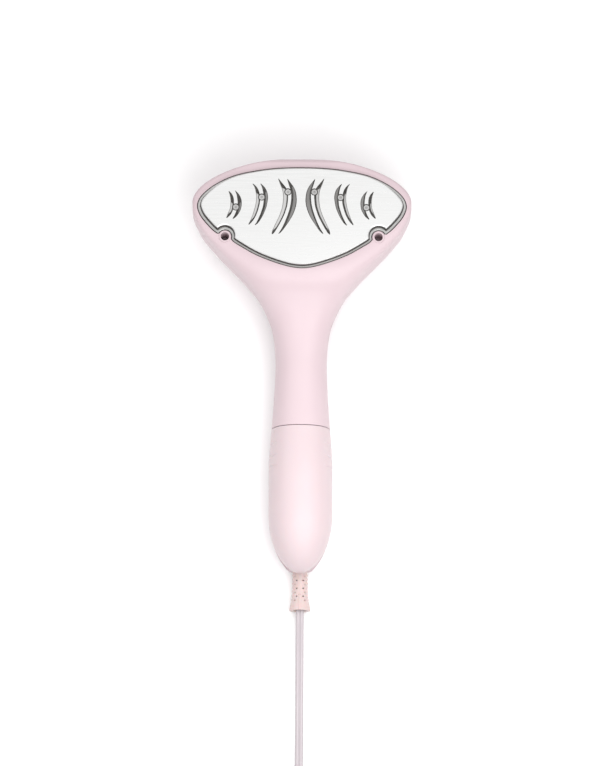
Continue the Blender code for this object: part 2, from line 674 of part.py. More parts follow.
# ---------------------------------------------------------------- pump, board and switches
def pump():
    turned("pump_body", [
        (0.0013, 0.0), (0.0022, 0.0), (0.0022, 0.0060), (0.0046, 0.0060), (0.0046, 0.0320),
        (0.0022, 0.0320), (0.0022, 0.0380), (0.0013, 0.0380), (0.0013, 0.0330), (0.0032, 0.0300),
        (0.0032, 0.0080), (0.0013, 0.0050),
    ][::-1], at(0, 0.1380, PUMP_Z), (0, 1, 0), "white_plastic", 16)
    turned("pump_coil", [
        (0.0049, 0.0), (0.0085, 0.0), (0.0085, 0.0240), (0.0049, 0.0240),
    ][::-1], at(0, 0.1310, PUMP_Z), (0, 1, 0), "copper")
    cylinder("pump_piston", at(0, 0.1100, PUMP_Z), at(0, 0.1210, PUMP_Z), 0.0028, "fastener", 12)
    turns, per_turn, spring_length, spring_radius = 4, 8, 0.0065, 0.0023
    coil = []
    for i in range(turns * per_turn + 1):
        angle = 2 * math.pi * i / per_turn
        coil.append(at(spring_radius * math.cos(angle), 0.1220 + spring_length * i / (turns * per_turn),
                       PUMP_Z + spring_radius * math.sin(angle)))
    tube("pump_spring", coil, 0.0004, "fastener", 0)
    tube("suction_hose", spline([
        at(0, 0.1384, PUMP_Z), at(0, 0.1415, PUMP_Z - 0.0008), at(0, 0.1455, NIPPLE_Z + 0.0014),
        at(0, 0.1492, NIPPLE_Z),
    ], 2), HOSE_RADIUS, "silicone")
    tube("steam_hose", spline([
        at(0, 0.0996, PUMP_Z), at(0, 0.0960, PUMP_Z + 0.0010), at(0, 0.0860, 0.0370),
        at(0, 0.0760, 0.0480), at(0, 0.0694, INLET_Z),
    ], 3), HOSE_RADIUS, "silicone")


def board_and_switches():
    board_top = BOARD_Z + 0.0016
    block("control_board", at(-0.0095, 0.1500, BOARD_Z), at(0.0095, 0.1000, board_top), "board")
    block("power_relay", at(0.0030, 0.1480, board_top + GAP), at(0.0092, 0.1400, 0.0240),
          "black_plastic", 0.0003)
    for name, t in (("steam", STEAM_BUTTON_AT), ("power", POWER_BUTTON_AT)):
        switch = block(f"{name}_switch", at(-0.0030, t + 0.0030, SWITCH_LOW_Z),
                       at(0.0030, t - 0.0030, BOARD_Z - GAP), "black_plastic")
        cut(switch, cylinder(f"{name}_bore", at(0, t, 0.0100), at(0, t, 0.0161), 0.0019, sides=12))
        cylinder(f"{name}_plunger", at(0, t, BUTTON_TOP_Z + GAP), at(0, t, 0.0143), 0.0015,
                 "white_plastic", SMALL_SIDES)


def buttons():
    steam = oblong("steam_button", STEAM_BUTTON_AT, STEAM_BUTTON_STRAIGHT, BUTTON_RADIUS,
                   BUTTON_FACE_Z, BUTTON_TOP_Z, "shell")
    add(steam, oblong("steam_button_flange", STEAM_BUTTON_AT, STEAM_BUTTON_STRAIGHT,
                      BUTTON_FLANGE_RADIUS, 0.0101, BUTTON_TOP_Z))
    power = cylinder("power_button", at(0, POWER_BUTTON_AT, BUTTON_FACE_Z),
                     at(0, POWER_BUTTON_AT, BUTTON_TOP_Z), BUTTON_RADIUS, "shell")
    add(power, cylinder("power_button_flange", at(0, POWER_BUTTON_AT, 0.0099),
                        at(0, POWER_BUTTON_AT, BUTTON_TOP_Z), BUTTON_FLANGE_RADIUS))
    cylinder("indicator_lens", at(0, LENS_AT, 0.0068), at(0, LENS_AT, 0.0160), LENS_RADIUS,
             "lens", SMALL_SIDES)


# ---------------------------------------------------------------- screws
def screw(name, place, along, head_radius, head, shaft_radius, shaft):
    """A screw with its head's outer face at place, pointing along."""
    turned(name, [
        (0.0, 0.0), (head_radius, 0.0), (head_radius, head), (shaft_radius, head),
        (shaft_radius, head + shaft), (0.0, head + shaft),
    ][::-1], place, along, "fastener", SMALL_SIDES)


def screws():
    for number, side in ((1, -1), (2, 1)):
        screw(f"head_screw_{number}", at(side * BOSS_X, BOSS_AT, 0.0138), (0, 0, 1),
              0.0028, 0.0019, 0.0014, 0.0200)
        screw(f"neck_screw_{number}", at(side * NECK_SCREW_X, NECK_SCREW_AT, 0.0130), (0, 0, 1),
              0.0022, 0.0017, 0.0012, 0.0200)
        screw(f"clamp_screw_{number}", at(side * CLAMP_SCREW_X, CLAMP_AT, 0.0118), (0, 0, -1),
              0.0018, 0.0010, 0.0010, 0.0058)


# ---------------------------------------------------------------- lower handle and tank
def dock():
    bulkhead = body_form("tank_dock", (0.1550, 0.1597), SHELL_WALL + GAP, 10, finish="white_plastic")
    cut(bulkhead, block("dock_floor", at(-0.03, 0.17, -0.01), at(0.03, 0.14, SPINE_TOP_Z + GAP)))
    add(
        bulkhead,
        cylinder("dock_cup", at(0, 0.1515, NIPPLE_Z), at(0, 0.1570, NIPPLE_Z), 0.0058, sides=16),
        cylinder("dock_spigot", at(0, 0.1496, NIPPLE_Z), at(0, 0.1530, NIPPLE_Z), 0.0020, sides=12),
    )
    cut(
        bulkhead,
        cylinder("dock_socket", at(0, 0.1526, NIPPLE_Z), at(0, 0.1650, NIPPLE_Z), 0.0046, sides=16),
        cylinder("dock_bore", at(0, 0.1480, NIPPLE_Z), at(0, 0.1550, NIPPLE_Z), 0.0010, sides=8),
    )
    ring = []
    ring_radius, ring_section, ring_sides = 0.0038, 0.0005, 8
    for i in range(ring_sides):
        angle = 2 * math.pi * i / ring_sides
        ring.append((ring_radius + ring_section * math.cos(angle), ring_section * math.sin(angle)))
    turned("dock_seal", ring[::-1], at(0, 0.1555, NIPPLE_Z), (0, 1, 0), "silicone", 16)


def spine_deck():
    deck = body_form("spine_deck", CAVITY_STATIONS[17:-1] + (0.2405,), SHELL_WALL + GAP, 10,
                     finish="white_plastic")
    keep(deck, block("deck_slab", at(-0.03, 0.2405, SPINE_TOP_Z - DECK_THICKNESS),
                     at(0.03, 0.1625, SPINE_TOP_Z)))
    cut(deck, block("deck_slot", at(-CLAMP_HALF_WIDTH - 0.0005, CLAMP_AT + 0.0030, 0.0),
                    at(CLAMP_HALF_WIDTH + 0.0005, CLAMP_AT - 0.0030, 0.0300)))


def water_tank():
    tank = body_form("water_tank", TANK_STATIONS, nose=True, finish="tank")
    floor = SPINE_TOP_Z + 0.0006
    keep(tank, block("tank_region", at(-0.05, 0.26, floor), at(0.05, 0.15, 0.06)))
    hollow = body_form("tank_hollow", TANK_CAVITY_STATIONS, TANK_WALL, 10, nose=True)
    keep(hollow, block("hollow_region", at(-0.05, 0.26, floor + TANK_WALL), at(0.05, 0.15, 0.06)))
    cut(tank, hollow)
    add(tank, cylinder("nipple", at(0, 0.1535, NIPPLE_Z), at(0, 0.1620, NIPPLE_Z), 0.0030, sides=16))
    cut(
        tank,
        cylinder("outlet", at(0, 0.1500, NIPPLE_Z), at(0, 0.1640, NIPPLE_Z), 0.0016, sides=12),
        cylinder("fill_hole", at(0, 0.1590, CAP_Z), at(0, 0.1650, CAP_Z), 0.0050, sides=20),
        cylinder("fill_recess", at(0, 0.1590, CAP_Z), at(0, 0.1619, CAP_Z), 0.0064, sides=20),
    )
    turned("tank_cap", [
        (0.0, 0.0), (0.0047, 0.0), (0.0047, 0.0029), (0.0061, 0.0029), (0.0061, 0.0037),
        (0.0, 0.0037),
    ][::-1], at(0, 0.1645, CAP_Z), (0, 1, 0), "silicone")
    tube("pickup_tube", spline([
        at(0, 0.1640, NIPPLE_Z), at(0, 0.1750, NIPPLE_Z - 0.0004), at(0, 0.2000, FILTER_Z),
        at(0, 0.2240, FILTER_Z),
    ], 2), 0.0018, "silicone")
    cylinder("pickup_filter", at(0, 0.2240 + GAP, FILTER_Z), at(0, 0.2340, FILTER_Z), 0.0030,
             "white_plastic", 16)


# ---------------------------------------------------------------- mains lead
def held_lead():
    tube("mains_lead", spline([
        at(0, 0.1470, 0.0148), at(0, 0.1510, 0.0128), at(0, 0.1560, 0.0106), at(0, 0.1640, 0.0085),
        at(0, 0.1760, LEAD_Z), at(0, 0.2000, LEAD_Z * 0.9),
        at(0, 0.2220, LEAD_Z), at(0, 0.2385, LEAD_Z),
    ], 3), 0.0015, "cord")
    clamp = block("cord_clamp", at(-CLAMP_HALF_WIDTH, CLAMP_AT + 0.0025, 0.0093),
                  at(CLAMP_HALF_WIDTH, CLAMP_AT - 0.0025, 0.0105), "white_plastic")
    for side in (-1, 1):
        x = side * CLAMP_SCREW_X
        cut(clamp, cylinder(f"clamp_hole_{side}", at(x, CLAMP_AT, 0.0080), at(x, CLAMP_AT, 0.0130),
                            CLAMP_PILOT_RADIUS, sides=12))
    for number, side in ((1, -1), (2, 1)):
        tube(f"heater_lead_{number}", spline([
            at(side * 0.0400, 0.0260, 0.0330), at(side * 0.0330, 0.0400, 0.0330),
            at(side * 0.0200, 0.0580, 0.0330), at(side * 0.0090, 0.0740, 0.0300),
            at(side * 0.0060, 0.0880, 0.0225), at(side * 0.0060, 0.1010, 0.0192),
        ], 2), 0.0009, "white_plastic", 1)


def strain_relief():
    """A tapered sleeve round the lead, widening at its mouth."""
    length = RELIEF_TO - RELIEF_FROM
    turned("strain_relief", [
        (RELIEF_NECK_RADIUS, -0.0026), (RELIEF_NECK_RADIUS, 0.0), (0.0047, 0.0),
        (0.0048, 0.60 * length), (0.0054, 0.80 * length),
        (0.0063, length), (0.0036, length), (0.0029, 0.90 * length), (0.0029, -0.0026),
    ][::-1], at(0, RELIEF_FROM, LEAD_Z), (0, -1, 0), "relief", 16)


def lying(points):
    """The same points, none lower than a lead lies on the surface."""
    return [Vector((p.x, p.y, max(p.z, CORD_RADIUS))) for p in points]


def free_cord():
    start = RELIEF_TO + GAP
    x, t = COIL_CENTRE
    route = [
        at(0, start, LEAD_Z), at(0, start + 0.0060, LEAD_Z - 0.0004), at(0, start + 0.0150, 0.0050),
        at(0, start + 0.0260, 0.0028), at(0, start + 0.0400, CORD_RADIUS), at(0.0, 0.3400, CORD_RADIUS),
        at(0.0, 0.3700, CORD_RADIUS), at(0.0005, 0.3820, CORD_RADIUS),
    ]
    tube("power_cord", lying(spline(route, 4)), CORD_RADIUS, "cord")
    low, high = COIL_LOW_Z, COIL_LOW_Z + COIL_HEIGHT
    inner, outer = COIL_TURN_RADIUS - COIL_HALF_DEPTH, COIL_TURN_RADIUS + COIL_HALF_DEPTH
    round_off = 0.0030
    turned("cord_coil", [
        (inner, low + round_off), (inner + round_off, low), (outer - round_off, low),
        (outer, low + round_off), (outer, high - round_off), (outer - round_off, high),
        (inner + round_off, high), (inner, high - round_off),
    ][::-1], at(x, t, 0), (0, 0, 1), "cord", 40)
    tail_t = t + outer + GAP + CORD_RADIUS
    tail = [
        at(x + 0.0060, tail_t, CORD_RADIUS), at(x - 0.0040, tail_t, CORD_RADIUS),
        at(x - 0.0120, tail_t, 0.0036), at(x - 0.0185, tail_t, 0.0066),
        at(x - 0.0230, tail_t, PLUG_HALF_HEIGHT), at(x - 0.0260, tail_t, PLUG_HALF_HEIGHT),
    ]
    tube("cord_tail", lying(spline(tail, 4)), CORD_RADIUS, "cord")
    return at(x - 0.0260 - GAP, tail_t, PLUG_HALF_HEIGHT)


def cord_tie():
    """A narrow strap round the bundle of turns, at the side of the coil away from the lead."""
    x, t = COIL_CENTRE
    middle = x - COIL_TURN_RADIUS
    reach = COIL_HALF_DEPTH + 2 * GAP
    strap, half_length, corner = 0.0011, 0.0035, 0.0025
    outer = rounded_rectangle(middle, reach + strap, COIL_LOW_Z - GAP - strap,
                              COIL_LOW_Z + COIL_HEIGHT + GAP + strap, corner)
    inner = rounded_rectangle(middle, reach, COIL_LOW_Z - GAP, COIL_LOW_Z + COIL_HEIGHT + GAP,
                              corner - strap)
    rings = []
    for outline, shift in ((outer, -1), (outer, 1), (inner, 1), (inner, -1)):
        rings.append([at(px, t + shift * half_length, pz) for px, pz in outline])
    loft("cord_tie", rings, "tie", closed=True)


def rounded_rectangle(middle, half, low, high, corner):
    """Points round a rectangle with rounded corners, as (x, z)."""
    points = []
    centres = ((half, high, 0), (-half, high, 1), (-half, low, 2), (half, low, 3))
    for cx, cz, quarter in centres:
        inward_x = middle + cx - math.copysign(corner, cx)
        inward_z = cz - corner if cz == high else cz + corner
        for k in range(4):
            angle = math.pi / 2 * (quarter + k / 3)
            points.append((inward_x + corner * math.cos(angle), inward_z + corner * math.sin(angle)))
    return points


def plug(start):
    """A moulded two-blade plug lying flat, with its blades pointing away from the lead."""
    sections = (
        (0.0, 0.0045, 0.0040), (0.0060, 0.0050, 0.0044), (0.0110, 0.0085, 0.0062),
        (0.0170, PLUG_HALF_WIDTH, PLUG_HALF_HEIGHT), (0.0310, PLUG_HALF_WIDTH, PLUG_HALF_HEIGHT),
        (PLUG_LENGTH, PLUG_HALF_WIDTH - 0.0010, PLUG_HALF_HEIGHT - 0.0010),
    )
    rings = []
    for along, half, tall in sections:
        ring = []
        for i in range(16):
            angle = 2 * math.pi * i / 16
            c, s = math.cos(angle), math.sin(angle)
            ring.append(Vector((
                start.x - along,
                start.y + half * math.copysign(abs(c) ** 0.5, c),
                start.z + tall * math.copysign(abs(s) ** 0.5, s),
            )))
        rings.append(ring)
    body = loft("plug_body", rings, "plug")
    for number, side in ((1, -1), (2, 1)):
        face = start.x - PLUG_LENGTH
        y = start.y + side * PLUG_BLADE_SPACING / 2
        cut(body, block(f"blade_slot_{number}", (face - 0.01, y - 0.0011, start.z - 0.0035),
                        (face + 0.0040, y + 0.0011, start.z + 0.0035)))
        block(f"plug_blade_{number}", (face - 0.0170, y - 0.00075, start.z - 0.00315),
              (face + 0.0037, y + 0.00075, start.z + 0.00315), "fastener", 0.0003)


if __name__ == "__main__":
    steam_plate()
    front_shell()
    rear_shell()
    head_internals()
    pump()
    board_and_switches()
    buttons()
    screws()
    dock()
    spine_deck()
    water_tank()
    held_lead()
    strain_relief()
    plug(free_cord())
    cord_tie()
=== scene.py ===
"""Looks of the handheld garment steamer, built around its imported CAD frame.

Metres, +Z up. Along the body a place is given as its distance from the top of the head, t, and
at() turns (x, t, z) into a point.
"""
import json
import math

import bmesh
import bpy
from mathutils import Matrix, Vector
from mathutils.geometry import intersect_line_line_2d


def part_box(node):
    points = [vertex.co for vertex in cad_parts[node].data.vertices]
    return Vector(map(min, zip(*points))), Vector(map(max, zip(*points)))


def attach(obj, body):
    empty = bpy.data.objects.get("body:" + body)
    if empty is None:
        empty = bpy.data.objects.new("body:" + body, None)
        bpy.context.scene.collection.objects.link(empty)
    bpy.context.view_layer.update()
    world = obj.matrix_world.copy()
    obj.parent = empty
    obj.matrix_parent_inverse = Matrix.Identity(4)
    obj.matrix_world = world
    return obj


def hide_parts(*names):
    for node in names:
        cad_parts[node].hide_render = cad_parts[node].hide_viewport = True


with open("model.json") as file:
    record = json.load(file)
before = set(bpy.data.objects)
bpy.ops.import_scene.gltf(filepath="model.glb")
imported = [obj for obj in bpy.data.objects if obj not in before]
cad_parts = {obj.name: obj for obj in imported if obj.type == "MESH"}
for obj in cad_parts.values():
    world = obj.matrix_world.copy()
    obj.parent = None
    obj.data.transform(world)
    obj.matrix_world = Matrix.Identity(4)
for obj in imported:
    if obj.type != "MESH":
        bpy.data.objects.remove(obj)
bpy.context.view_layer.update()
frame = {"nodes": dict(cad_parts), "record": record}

BODY, TANK = "body", "tank"

# ---------------------------------------------------------------- driving dimensions
Y_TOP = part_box("front_shell")[1].y
SEAM = Y_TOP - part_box("front_shell")[0].y
SPINE_END = Y_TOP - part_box("rear_shell")[0].y
FACE_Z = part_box("steam_plate")[1].z
RELIEF_TO = Y_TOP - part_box("strain_relief")[0].y
SPINE_TOP_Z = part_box("spine_deck")[1].z

# Form of the body, as in the CAD; only HEAD_TOP_LEAD and HALF_GAP are this script's own.
HEAD_HALF_WIDTH = 0.0657
HEAD_TOP_LENGTH, HEAD_TOP_LEAD = 0.0265, 0.0002
HEAD_TOP_SQUARENESS = (1.8, 1.9)
HEAD_HEIGHT = 0.0570
HEAD_TOP_FRONT_Z, HEAD_TOP_BACK_Z = 0.0505, 0.0360
HEAD_BACK_LENGTH = 0.0300
TANK_END, TANK_NOSE_LENGTH, TANK_NOSE_POWER = 0.2475, 0.0355, 0.57
TANK_HALF_WIDTH, TANK_HEIGHT = 0.0191, 0.0430
NOSE_Z = 0.0245
SHELL_WALL, TANK_WALL = 0.0022, 0.0018
HALF_GAP = 0.00015

# Screws, buttons and openings, in the same places as the CAD's.
HEAD_REAR_POST_Z, HEAD_FRONT_POST_Z = 0.0245, 0.0248
NECK_REAR_POST_Z, NECK_FRONT_POST_Z, NECK_POST_TOP_Z = 0.0247, 0.0250, 0.0425
HEAD_WELL_TOP_Z, NECK_WELL_TOP_Z, FRONT_PILOT_TOP_Z = 0.0138, 0.0130, 0.0370
BACK_HOLE_TOP_Z = 0.0150
HEAD_POST_RADIUS, HEAD_WELL_RADIUS, HEAD_PILOT_RADIUS = 0.0040, 0.0032, 0.0018
NECK_SCREW_X, NECK_SCREW_AT = 0.0125, 0.0880
NECK_POST_RADIUS, NECK_WELL_RADIUS, NECK_PILOT_RADIUS = 0.0034, 0.0026, 0.0016
CLAMP_SCREW_X, CLAMP_AT = 0.0065, 0.2220
CLAMP_POST_RADIUS, CLAMP_PILOT_RADIUS = 0.0022, 0.0013
STEAM_BUTTON_AT, POWER_BUTTON_AT, LENS_AT = 0.1120, 0.1420, 0.1285
STEAM_BUTTON_STRAIGHT, BUTTON_HOLE_RADIUS, LENS_HOLE_RADIUS = 0.0060, 0.0052, 0.0018
NIPPLE_Z, CAP_Z = 0.0205, 0.0320
LEAD_Z, RELIEF_HOLE_RADIUS = 0.0074, 0.0035

# Lines along the body, as (t, value).
HALF_WIDTH = (
    (HEAD_TOP_LENGTH, HEAD_HALF_WIDTH), (0.0305, 0.0657), (0.0423, 0.0614), (0.0520, 0.0537),
    (0.0724, 0.0337), (0.0811, 0.0263), (0.0900, 0.0213), (0.0994, 0.0177), (0.1087, 0.0161),
    (0.1210, 0.0154), (0.1376, 0.0160), (0.1570, 0.0173), (0.1840, TANK_HALF_WIDTH),
)
FRONT_Z = (
    (0.0040, HEAD_HEIGHT), (0.0665, HEAD_HEIGHT), (0.0740, 0.0554), (0.0820, 0.0502),
    (0.0920, 0.0453), (0.1040, 0.0416), (0.1200, 0.0400), (0.1350, 0.0400), (0.1600, 0.0411),
    (0.1900, TANK_HEIGHT),
)
BACK_Z = (
    (0.0300, -0.0015), (0.0480, -0.0015), (0.0600, 0.0006), (0.0800, 0.0036), (0.1000, 0.0061),
    (0.1200, 0.0071), (0.1400, 0.0062), (0.1600, 0.0032), (0.1780, 0.0002), (0.1920, -0.0008),
    (0.2150, -0.0008), (0.2435, 0.0012),
)
WIDEST_Z = (
    (0.0, 0.0440), (0.0360, 0.0440), (0.0724, 0.0370), (0.0994, 0.0265), (0.1210, 0.0230),
    (0.1600, 0.0225), (0.2120, 0.0235), (TANK_END, NOSE_Z),
)
FRONT_SQUARENESS = (
    (0.0, 13.0), (0.0440, 13.0), (0.0590, 8.0), (0.0690, 4.8), (0.0820, 3.2), (0.1000, 2.5),
    (0.1250, 2.2),
)
BACK_SQUARENESS = ((0.0, 3.0), (0.0600, 3.0), (0.1200, 2.6), (0.2000, 2.6), (0.2435, 3.2))

# Steam plate: the right half of its edge above and below the notch at the screw boss, as (x, t).
PLATE_UPPER_EDGE = (
    (0.0, 0.0066), (0.0100, 0.0068), (0.0200, 0.0076), (0.0290, 0.0090), (0.0370, 0.0107),
    (0.0430, 0.0127), (0.0480, 0.0150), (0.0525, 0.0176), (0.0562, 0.0203), (0.0591, 0.0230),
    (0.0612, 0.0257), (0.0622, 0.0282), (0.0625, 0.0304), (0.0618, 0.0334), (0.0600, 0.0370),
    (0.0570, 0.0408), (0.0535, 0.0446), (0.0505, 0.0470),
)
PLATE_LOWER_EDGE = (
    (0.0405, 0.0522), (0.0362, 0.0549), (0.0280, 0.0596), (0.0190, 0.0634), (0.0098, 0.0664),
    (0.0040, 0.0676), (0.0, 0.0679),
)
BOSS_X, BOSS_AT = 0.0460, 0.0490
BOSS_RADIUS, BOSS_HOLE_RADIUS = 0.0035, 0.0025
BOSS_HOLE_FLOOR_Z, BOSS_HOLE_TOP_Z = 0.0430, 0.0600
NOTCH_RADIUS = 0.0042
NOTCH_FROM, NOTCH_TO = math.radians(-28.0), math.radians(-200.0)
APERTURE_GAP, APERTURE_LOW_Z, APERTURE_TOP_Z = 0.0004, 0.0500, 0.0650
FLANGE_SHARE = (
    (0.0066, 0.50), (0.0150, 0.62), (0.0240, 1.0), (0.0440, 1.0), (0.0540, 0.72), (0.0679, 0.62),
)

# Each crescent on the right: its steam nozzle, then four lines from the top down, as (x, t):
# its bulging outline, the two edges of its rib, and its hollow outline.
CRESCENTS = (
    (
        (0.0074, 0.0221),
        ((0.0077, 0.0141), (0.0059, 0.0164), (0.0041, 0.0189), (0.0028, 0.0218), (0.0023, 0.0245),
         (0.0021, 0.0272), (0.0024, 0.0302), (0.0031, 0.0329), (0.0040, 0.0354), (0.0051, 0.0377),
         (0.0067, 0.0404), (0.0084, 0.0429), (0.0101, 0.0454), (0.0116, 0.0471), (0.0128, 0.0480)),
        ((0.0079, 0.0145), (0.0068, 0.0181), (0.0056, 0.0218), (0.0054, 0.0245), (0.0055, 0.0272),
         (0.0059, 0.0302), (0.0066, 0.0333), (0.0076, 0.0364), (0.0087, 0.0394), (0.0100, 0.0425),
         (0.0114, 0.0452), (0.0130, 0.0478)),
        ((0.0131, 0.0139), (0.0107, 0.0169), (0.0087, 0.0194), (0.0076, 0.0217), (0.0073, 0.0244),
         (0.0074, 0.0271), (0.0078, 0.0306), (0.0087, 0.0337), (0.0096, 0.0364), (0.0110, 0.0394),
         (0.0123, 0.0419), (0.0138, 0.0446), (0.0155, 0.0473), (0.0166, 0.0483)),
        ((0.0133, 0.0141), (0.0123, 0.0171), (0.0113, 0.0196), (0.0105, 0.0225), (0.0103, 0.0260),
         (0.0105, 0.0291), (0.0111, 0.0325), (0.0121, 0.0356), (0.0132, 0.0383), (0.0145, 0.0411),
         (0.0158, 0.0440), (0.0168, 0.0463), (0.0170, 0.0482)),
    ),
    (
        (0.0231, 0.0254),
        ((0.0237, 0.0170), (0.0217, 0.0190), (0.0204, 0.0209), (0.0196, 0.0232), (0.0193, 0.0255),
         (0.0196, 0.0282), (0.0202, 0.0313), (0.0212, 0.0342), (0.0225, 0.0371), (0.0238, 0.0394),
         (0.0252, 0.0414), (0.0267, 0.0427)),
        ((0.0239, 0.0173), (0.0230, 0.0194), (0.0223, 0.0224), (0.0219, 0.0255), (0.0220, 0.0282),
         (0.0223, 0.0309), (0.0231, 0.0336), (0.0240, 0.0363), (0.0252, 0.0390), (0.0262, 0.0411),
         (0.0272, 0.0425)),
        ((0.0284, 0.0171), (0.0264, 0.0189), (0.0249, 0.0215), (0.0242, 0.0247), (0.0241, 0.0282),
         (0.0245, 0.0305), (0.0252, 0.0332), (0.0261, 0.0359), (0.0272, 0.0382), (0.0285, 0.0403),
         (0.0304, 0.0424)),
        ((0.0287, 0.0172), (0.0275, 0.0193), (0.0268, 0.0220), (0.0264, 0.0251), (0.0265, 0.0278),
         (0.0270, 0.0309), (0.0279, 0.0343), (0.0289, 0.0374), (0.0299, 0.0399), (0.0308, 0.0417),
         (0.0310, 0.0424)),
    ),
    (
        (0.0386, 0.0316),
        ((0.0390, 0.0214), (0.0371, 0.0233), (0.0358, 0.0254), (0.0351, 0.0278), (0.0351, 0.0305),
         (0.0356, 0.0331), (0.0368, 0.0355), (0.0383, 0.0376), (0.0401, 0.0390)),
        ((0.0391, 0.0216), (0.0382, 0.0239), (0.0377, 0.0266), (0.0375, 0.0293), (0.0377, 0.0320),
         (0.0384, 0.0343), (0.0393, 0.0366), (0.0405, 0.0387)),
        ((0.0426, 0.0218), (0.0410, 0.0236), (0.0400, 0.0258), (0.0397, 0.0285), (0.0399, 0.0316),
         (0.0405, 0.0341), (0.0417, 0.0364), (0.0437, 0.0384)),
        ((0.0430, 0.0219), (0.0422, 0.0246), (0.0418, 0.0273), (0.0418, 0.0304), (0.0422, 0.0327),
         (0.0430, 0.0348), (0.0438, 0.0368), (0.0443, 0.0383)),
    ),
)


# ---------------------------------------------------------------- camera
def add_camera():
    """Looks down at the steamer from the handle's side, with the head at the top of the picture."""
    camera = bpy.data.objects.new("camera", bpy.data.cameras.new("camera"))
    bpy.context.scene.collection.objects.link(camera)
    elevation, distance, roll = math.radians(78.0), 3.6, math.radians(0.3)
    aim = Vector((-0.0006, 0.0010, 0.0300))
    back = Vector((0.0, -math.cos(elevation), math.sin(elevation)))
    camera.location = aim + back * distance
    turned = (-back).to_track_quat("-Z", "Y").to_matrix() @ Matrix.Rotation(roll, 3, "Z")
    camera.rotation_euler = turned.to_euler()
    camera.data.lens = 282.0
    camera.data.sensor_width = 36.0
    camera.data.clip_start, camera.data.clip_end = 0.05, 20.0
    bpy.context.scene.camera = camera


add_camera()


# ---------------------------------------------------------------- curves and helpers
def at(x, t, z):
    return Vector((x, Y_TOP - t, z))


def smooth(keys, t):
    """A curve through the keys with no overshoot: a cubic with limited slopes."""
    if t <= keys[0][0]:
        return keys[0][1]
    if t >= keys[-1][0]:
        return keys[-1][1]
    slopes = [(b[1] - a[1]) / (b[0] - a[0]) for a, b in zip(keys, keys[1:])]
    span = max(i for i in range(len(keys) - 1) if keys[i][0] <= t)

    def tangent(i):
        if i in (0, len(keys) - 1):
            return 0.0
        before, after = slopes[i - 1], slopes[i]
        return 0.0 if before * after <= 0 else 2 * before * after / (before + after)

    (t0, v0), (t1, v1) = keys[span], keys[span + 1]
    width = t1 - t0
    u = (t - t0) / width
    return (
        v0 * (1 + 2 * u) * (1 - u) ** 2 + v1 * u * u * (3 - 2 * u)
        + width * (tangent(span) * u * (1 - u) ** 2 - tangent(span + 1) * u * u * (1 - u))
    )


def ease(u):
    """0 to 1 with a level start and end."""
    u = min(1.0, max(0.0, u))
    return u * u * (3 - 2 * u)


def spline(points, steps):
    """A smooth curve through the points, with this many steps between each two."""
    points = [Vector(p) for p in points]
    padded = [2 * points[0] - points[1], *points, 2 * points[-1] - points[-2]]
    found = []
    for i in range(1, len(padded) - 2):
        a, b, c, d = padded[i - 1 : i + 3]
        for k in range(steps):
            u = k / steps
            found.append(
                0.5 * (2 * b + (c - a) * u + (2 * a - 5 * b + 4 * c - d) * u * u
                       + (3 * b - a - 3 * c + d) * u ** 3)
            )
    return [*found, points[-1]]


def evenly(points, count):
    """The same line as count points spaced evenly along it."""
    along = [0.0]
    for a, b in zip(points, points[1:]):
        along.append(along[-1] + (b - a).length)
    found, i = [], 0
    for k in range(count):
        target = along[-1] * k / (count - 1)
        while i < len(along) - 2 and along[i + 1] < target:
            i += 1
        span = along[i + 1] - along[i]
        found.append(points[i].lerp(points[i + 1], (target - along[i]) / span if span else 0.0))
    return found


def spaced(start, stop, step):
    """Numbers from start to stop, about step apart."""
    count = max(1, round((stop - start) / step))
    return [start + (stop - start) * i / count for i in range(count + 1)]


# ---------------------------------------------------------------- meshes
SHARP_ANGLE, FINE_SHARP_ANGLE, ROUND_SHARP_ANGLE = 35.0, 14.0, 60.0
WELD = 1e-7


def shade(mesh, sharp=SHARP_ANGLE):
    mesh.shade_smooth()
    mesh.set_sharp_from_angle(angle=math.radians(sharp))


def settle(bm):
    """Welds doubled points and turns the faces outward."""
    bmesh.ops.remove_doubles(bm, verts=bm.verts, dist=WELD)
    bmesh.ops.recalc_face_normals(bm, faces=bm.faces)


def object_of(name, bm, material=None, sharp=SHARP_ANGLE):
    """A new object with the mesh in bm, which it frees."""
    settle(bm)
    mesh = bpy.data.meshes.new(name)
    bm.to_mesh(mesh)
    bm.free()
    if material:
        mesh.materials.append(material)
    shade(mesh, sharp)
    obj = bpy.data.objects.new(name, mesh)
    bpy.context.scene.collection.objects.link(obj)
    return obj


def add_loft(bm, rings, closed_ring=True, caps=(True, True), finish=None):
    """Joins rings of equal count in order. finish(row, i) names the material of each face."""
    rows = [[bm.verts.new(p) for p in ring] for ring in rings]
    count = len(rows[0])
    for row, (first, second) in enumerate(zip(rows, rows[1:])):
        for i in range(count if closed_ring else count - 1):
            j = (i + 1) % count
            face = bm.faces.new((first[i], first[j], second[j], second[i]))
            if finish:
                face.material_index = finish(row, i)
    if caps[0]:
        bm.faces.new(rows[0])
    if caps[1]:
        bm.faces.new(rows[-1])
    return rows


def round_turn(sides):
    """The angles of a full turn, evenly spread."""
    return [2 * math.pi * i / sides for i in range(sides)]


def add_turned(bm, profile, place, along, sides=48):
    """A solid turned about the line through place: profile runs as (radius, distance along)."""
    across = along.orthogonal().normalized()
    other = along.cross(across)
    rings = []
    for radius, height in profile:
        middle = place + along * height
        rings.append([
            middle + radius * (math.cos(w) * across + math.sin(w) * other) for w in round_turn(sides)
        ])
    add_loft(bm, rings)


def add_rod(bm, start, end, radius, sides=48):
    """A closed cylinder between two points."""
    span = end - start
    add_turned(bm, [(radius, 0.0), (radius, span.length)], start, span.normalized(), sides)


def add_upright(bm, x, t, low_z, high_z, radius, sides=48):
    """A closed cylinder standing at a place."""
    add_rod(bm, at(x, t, low_z), at(x, t, high_z), radius, sides)


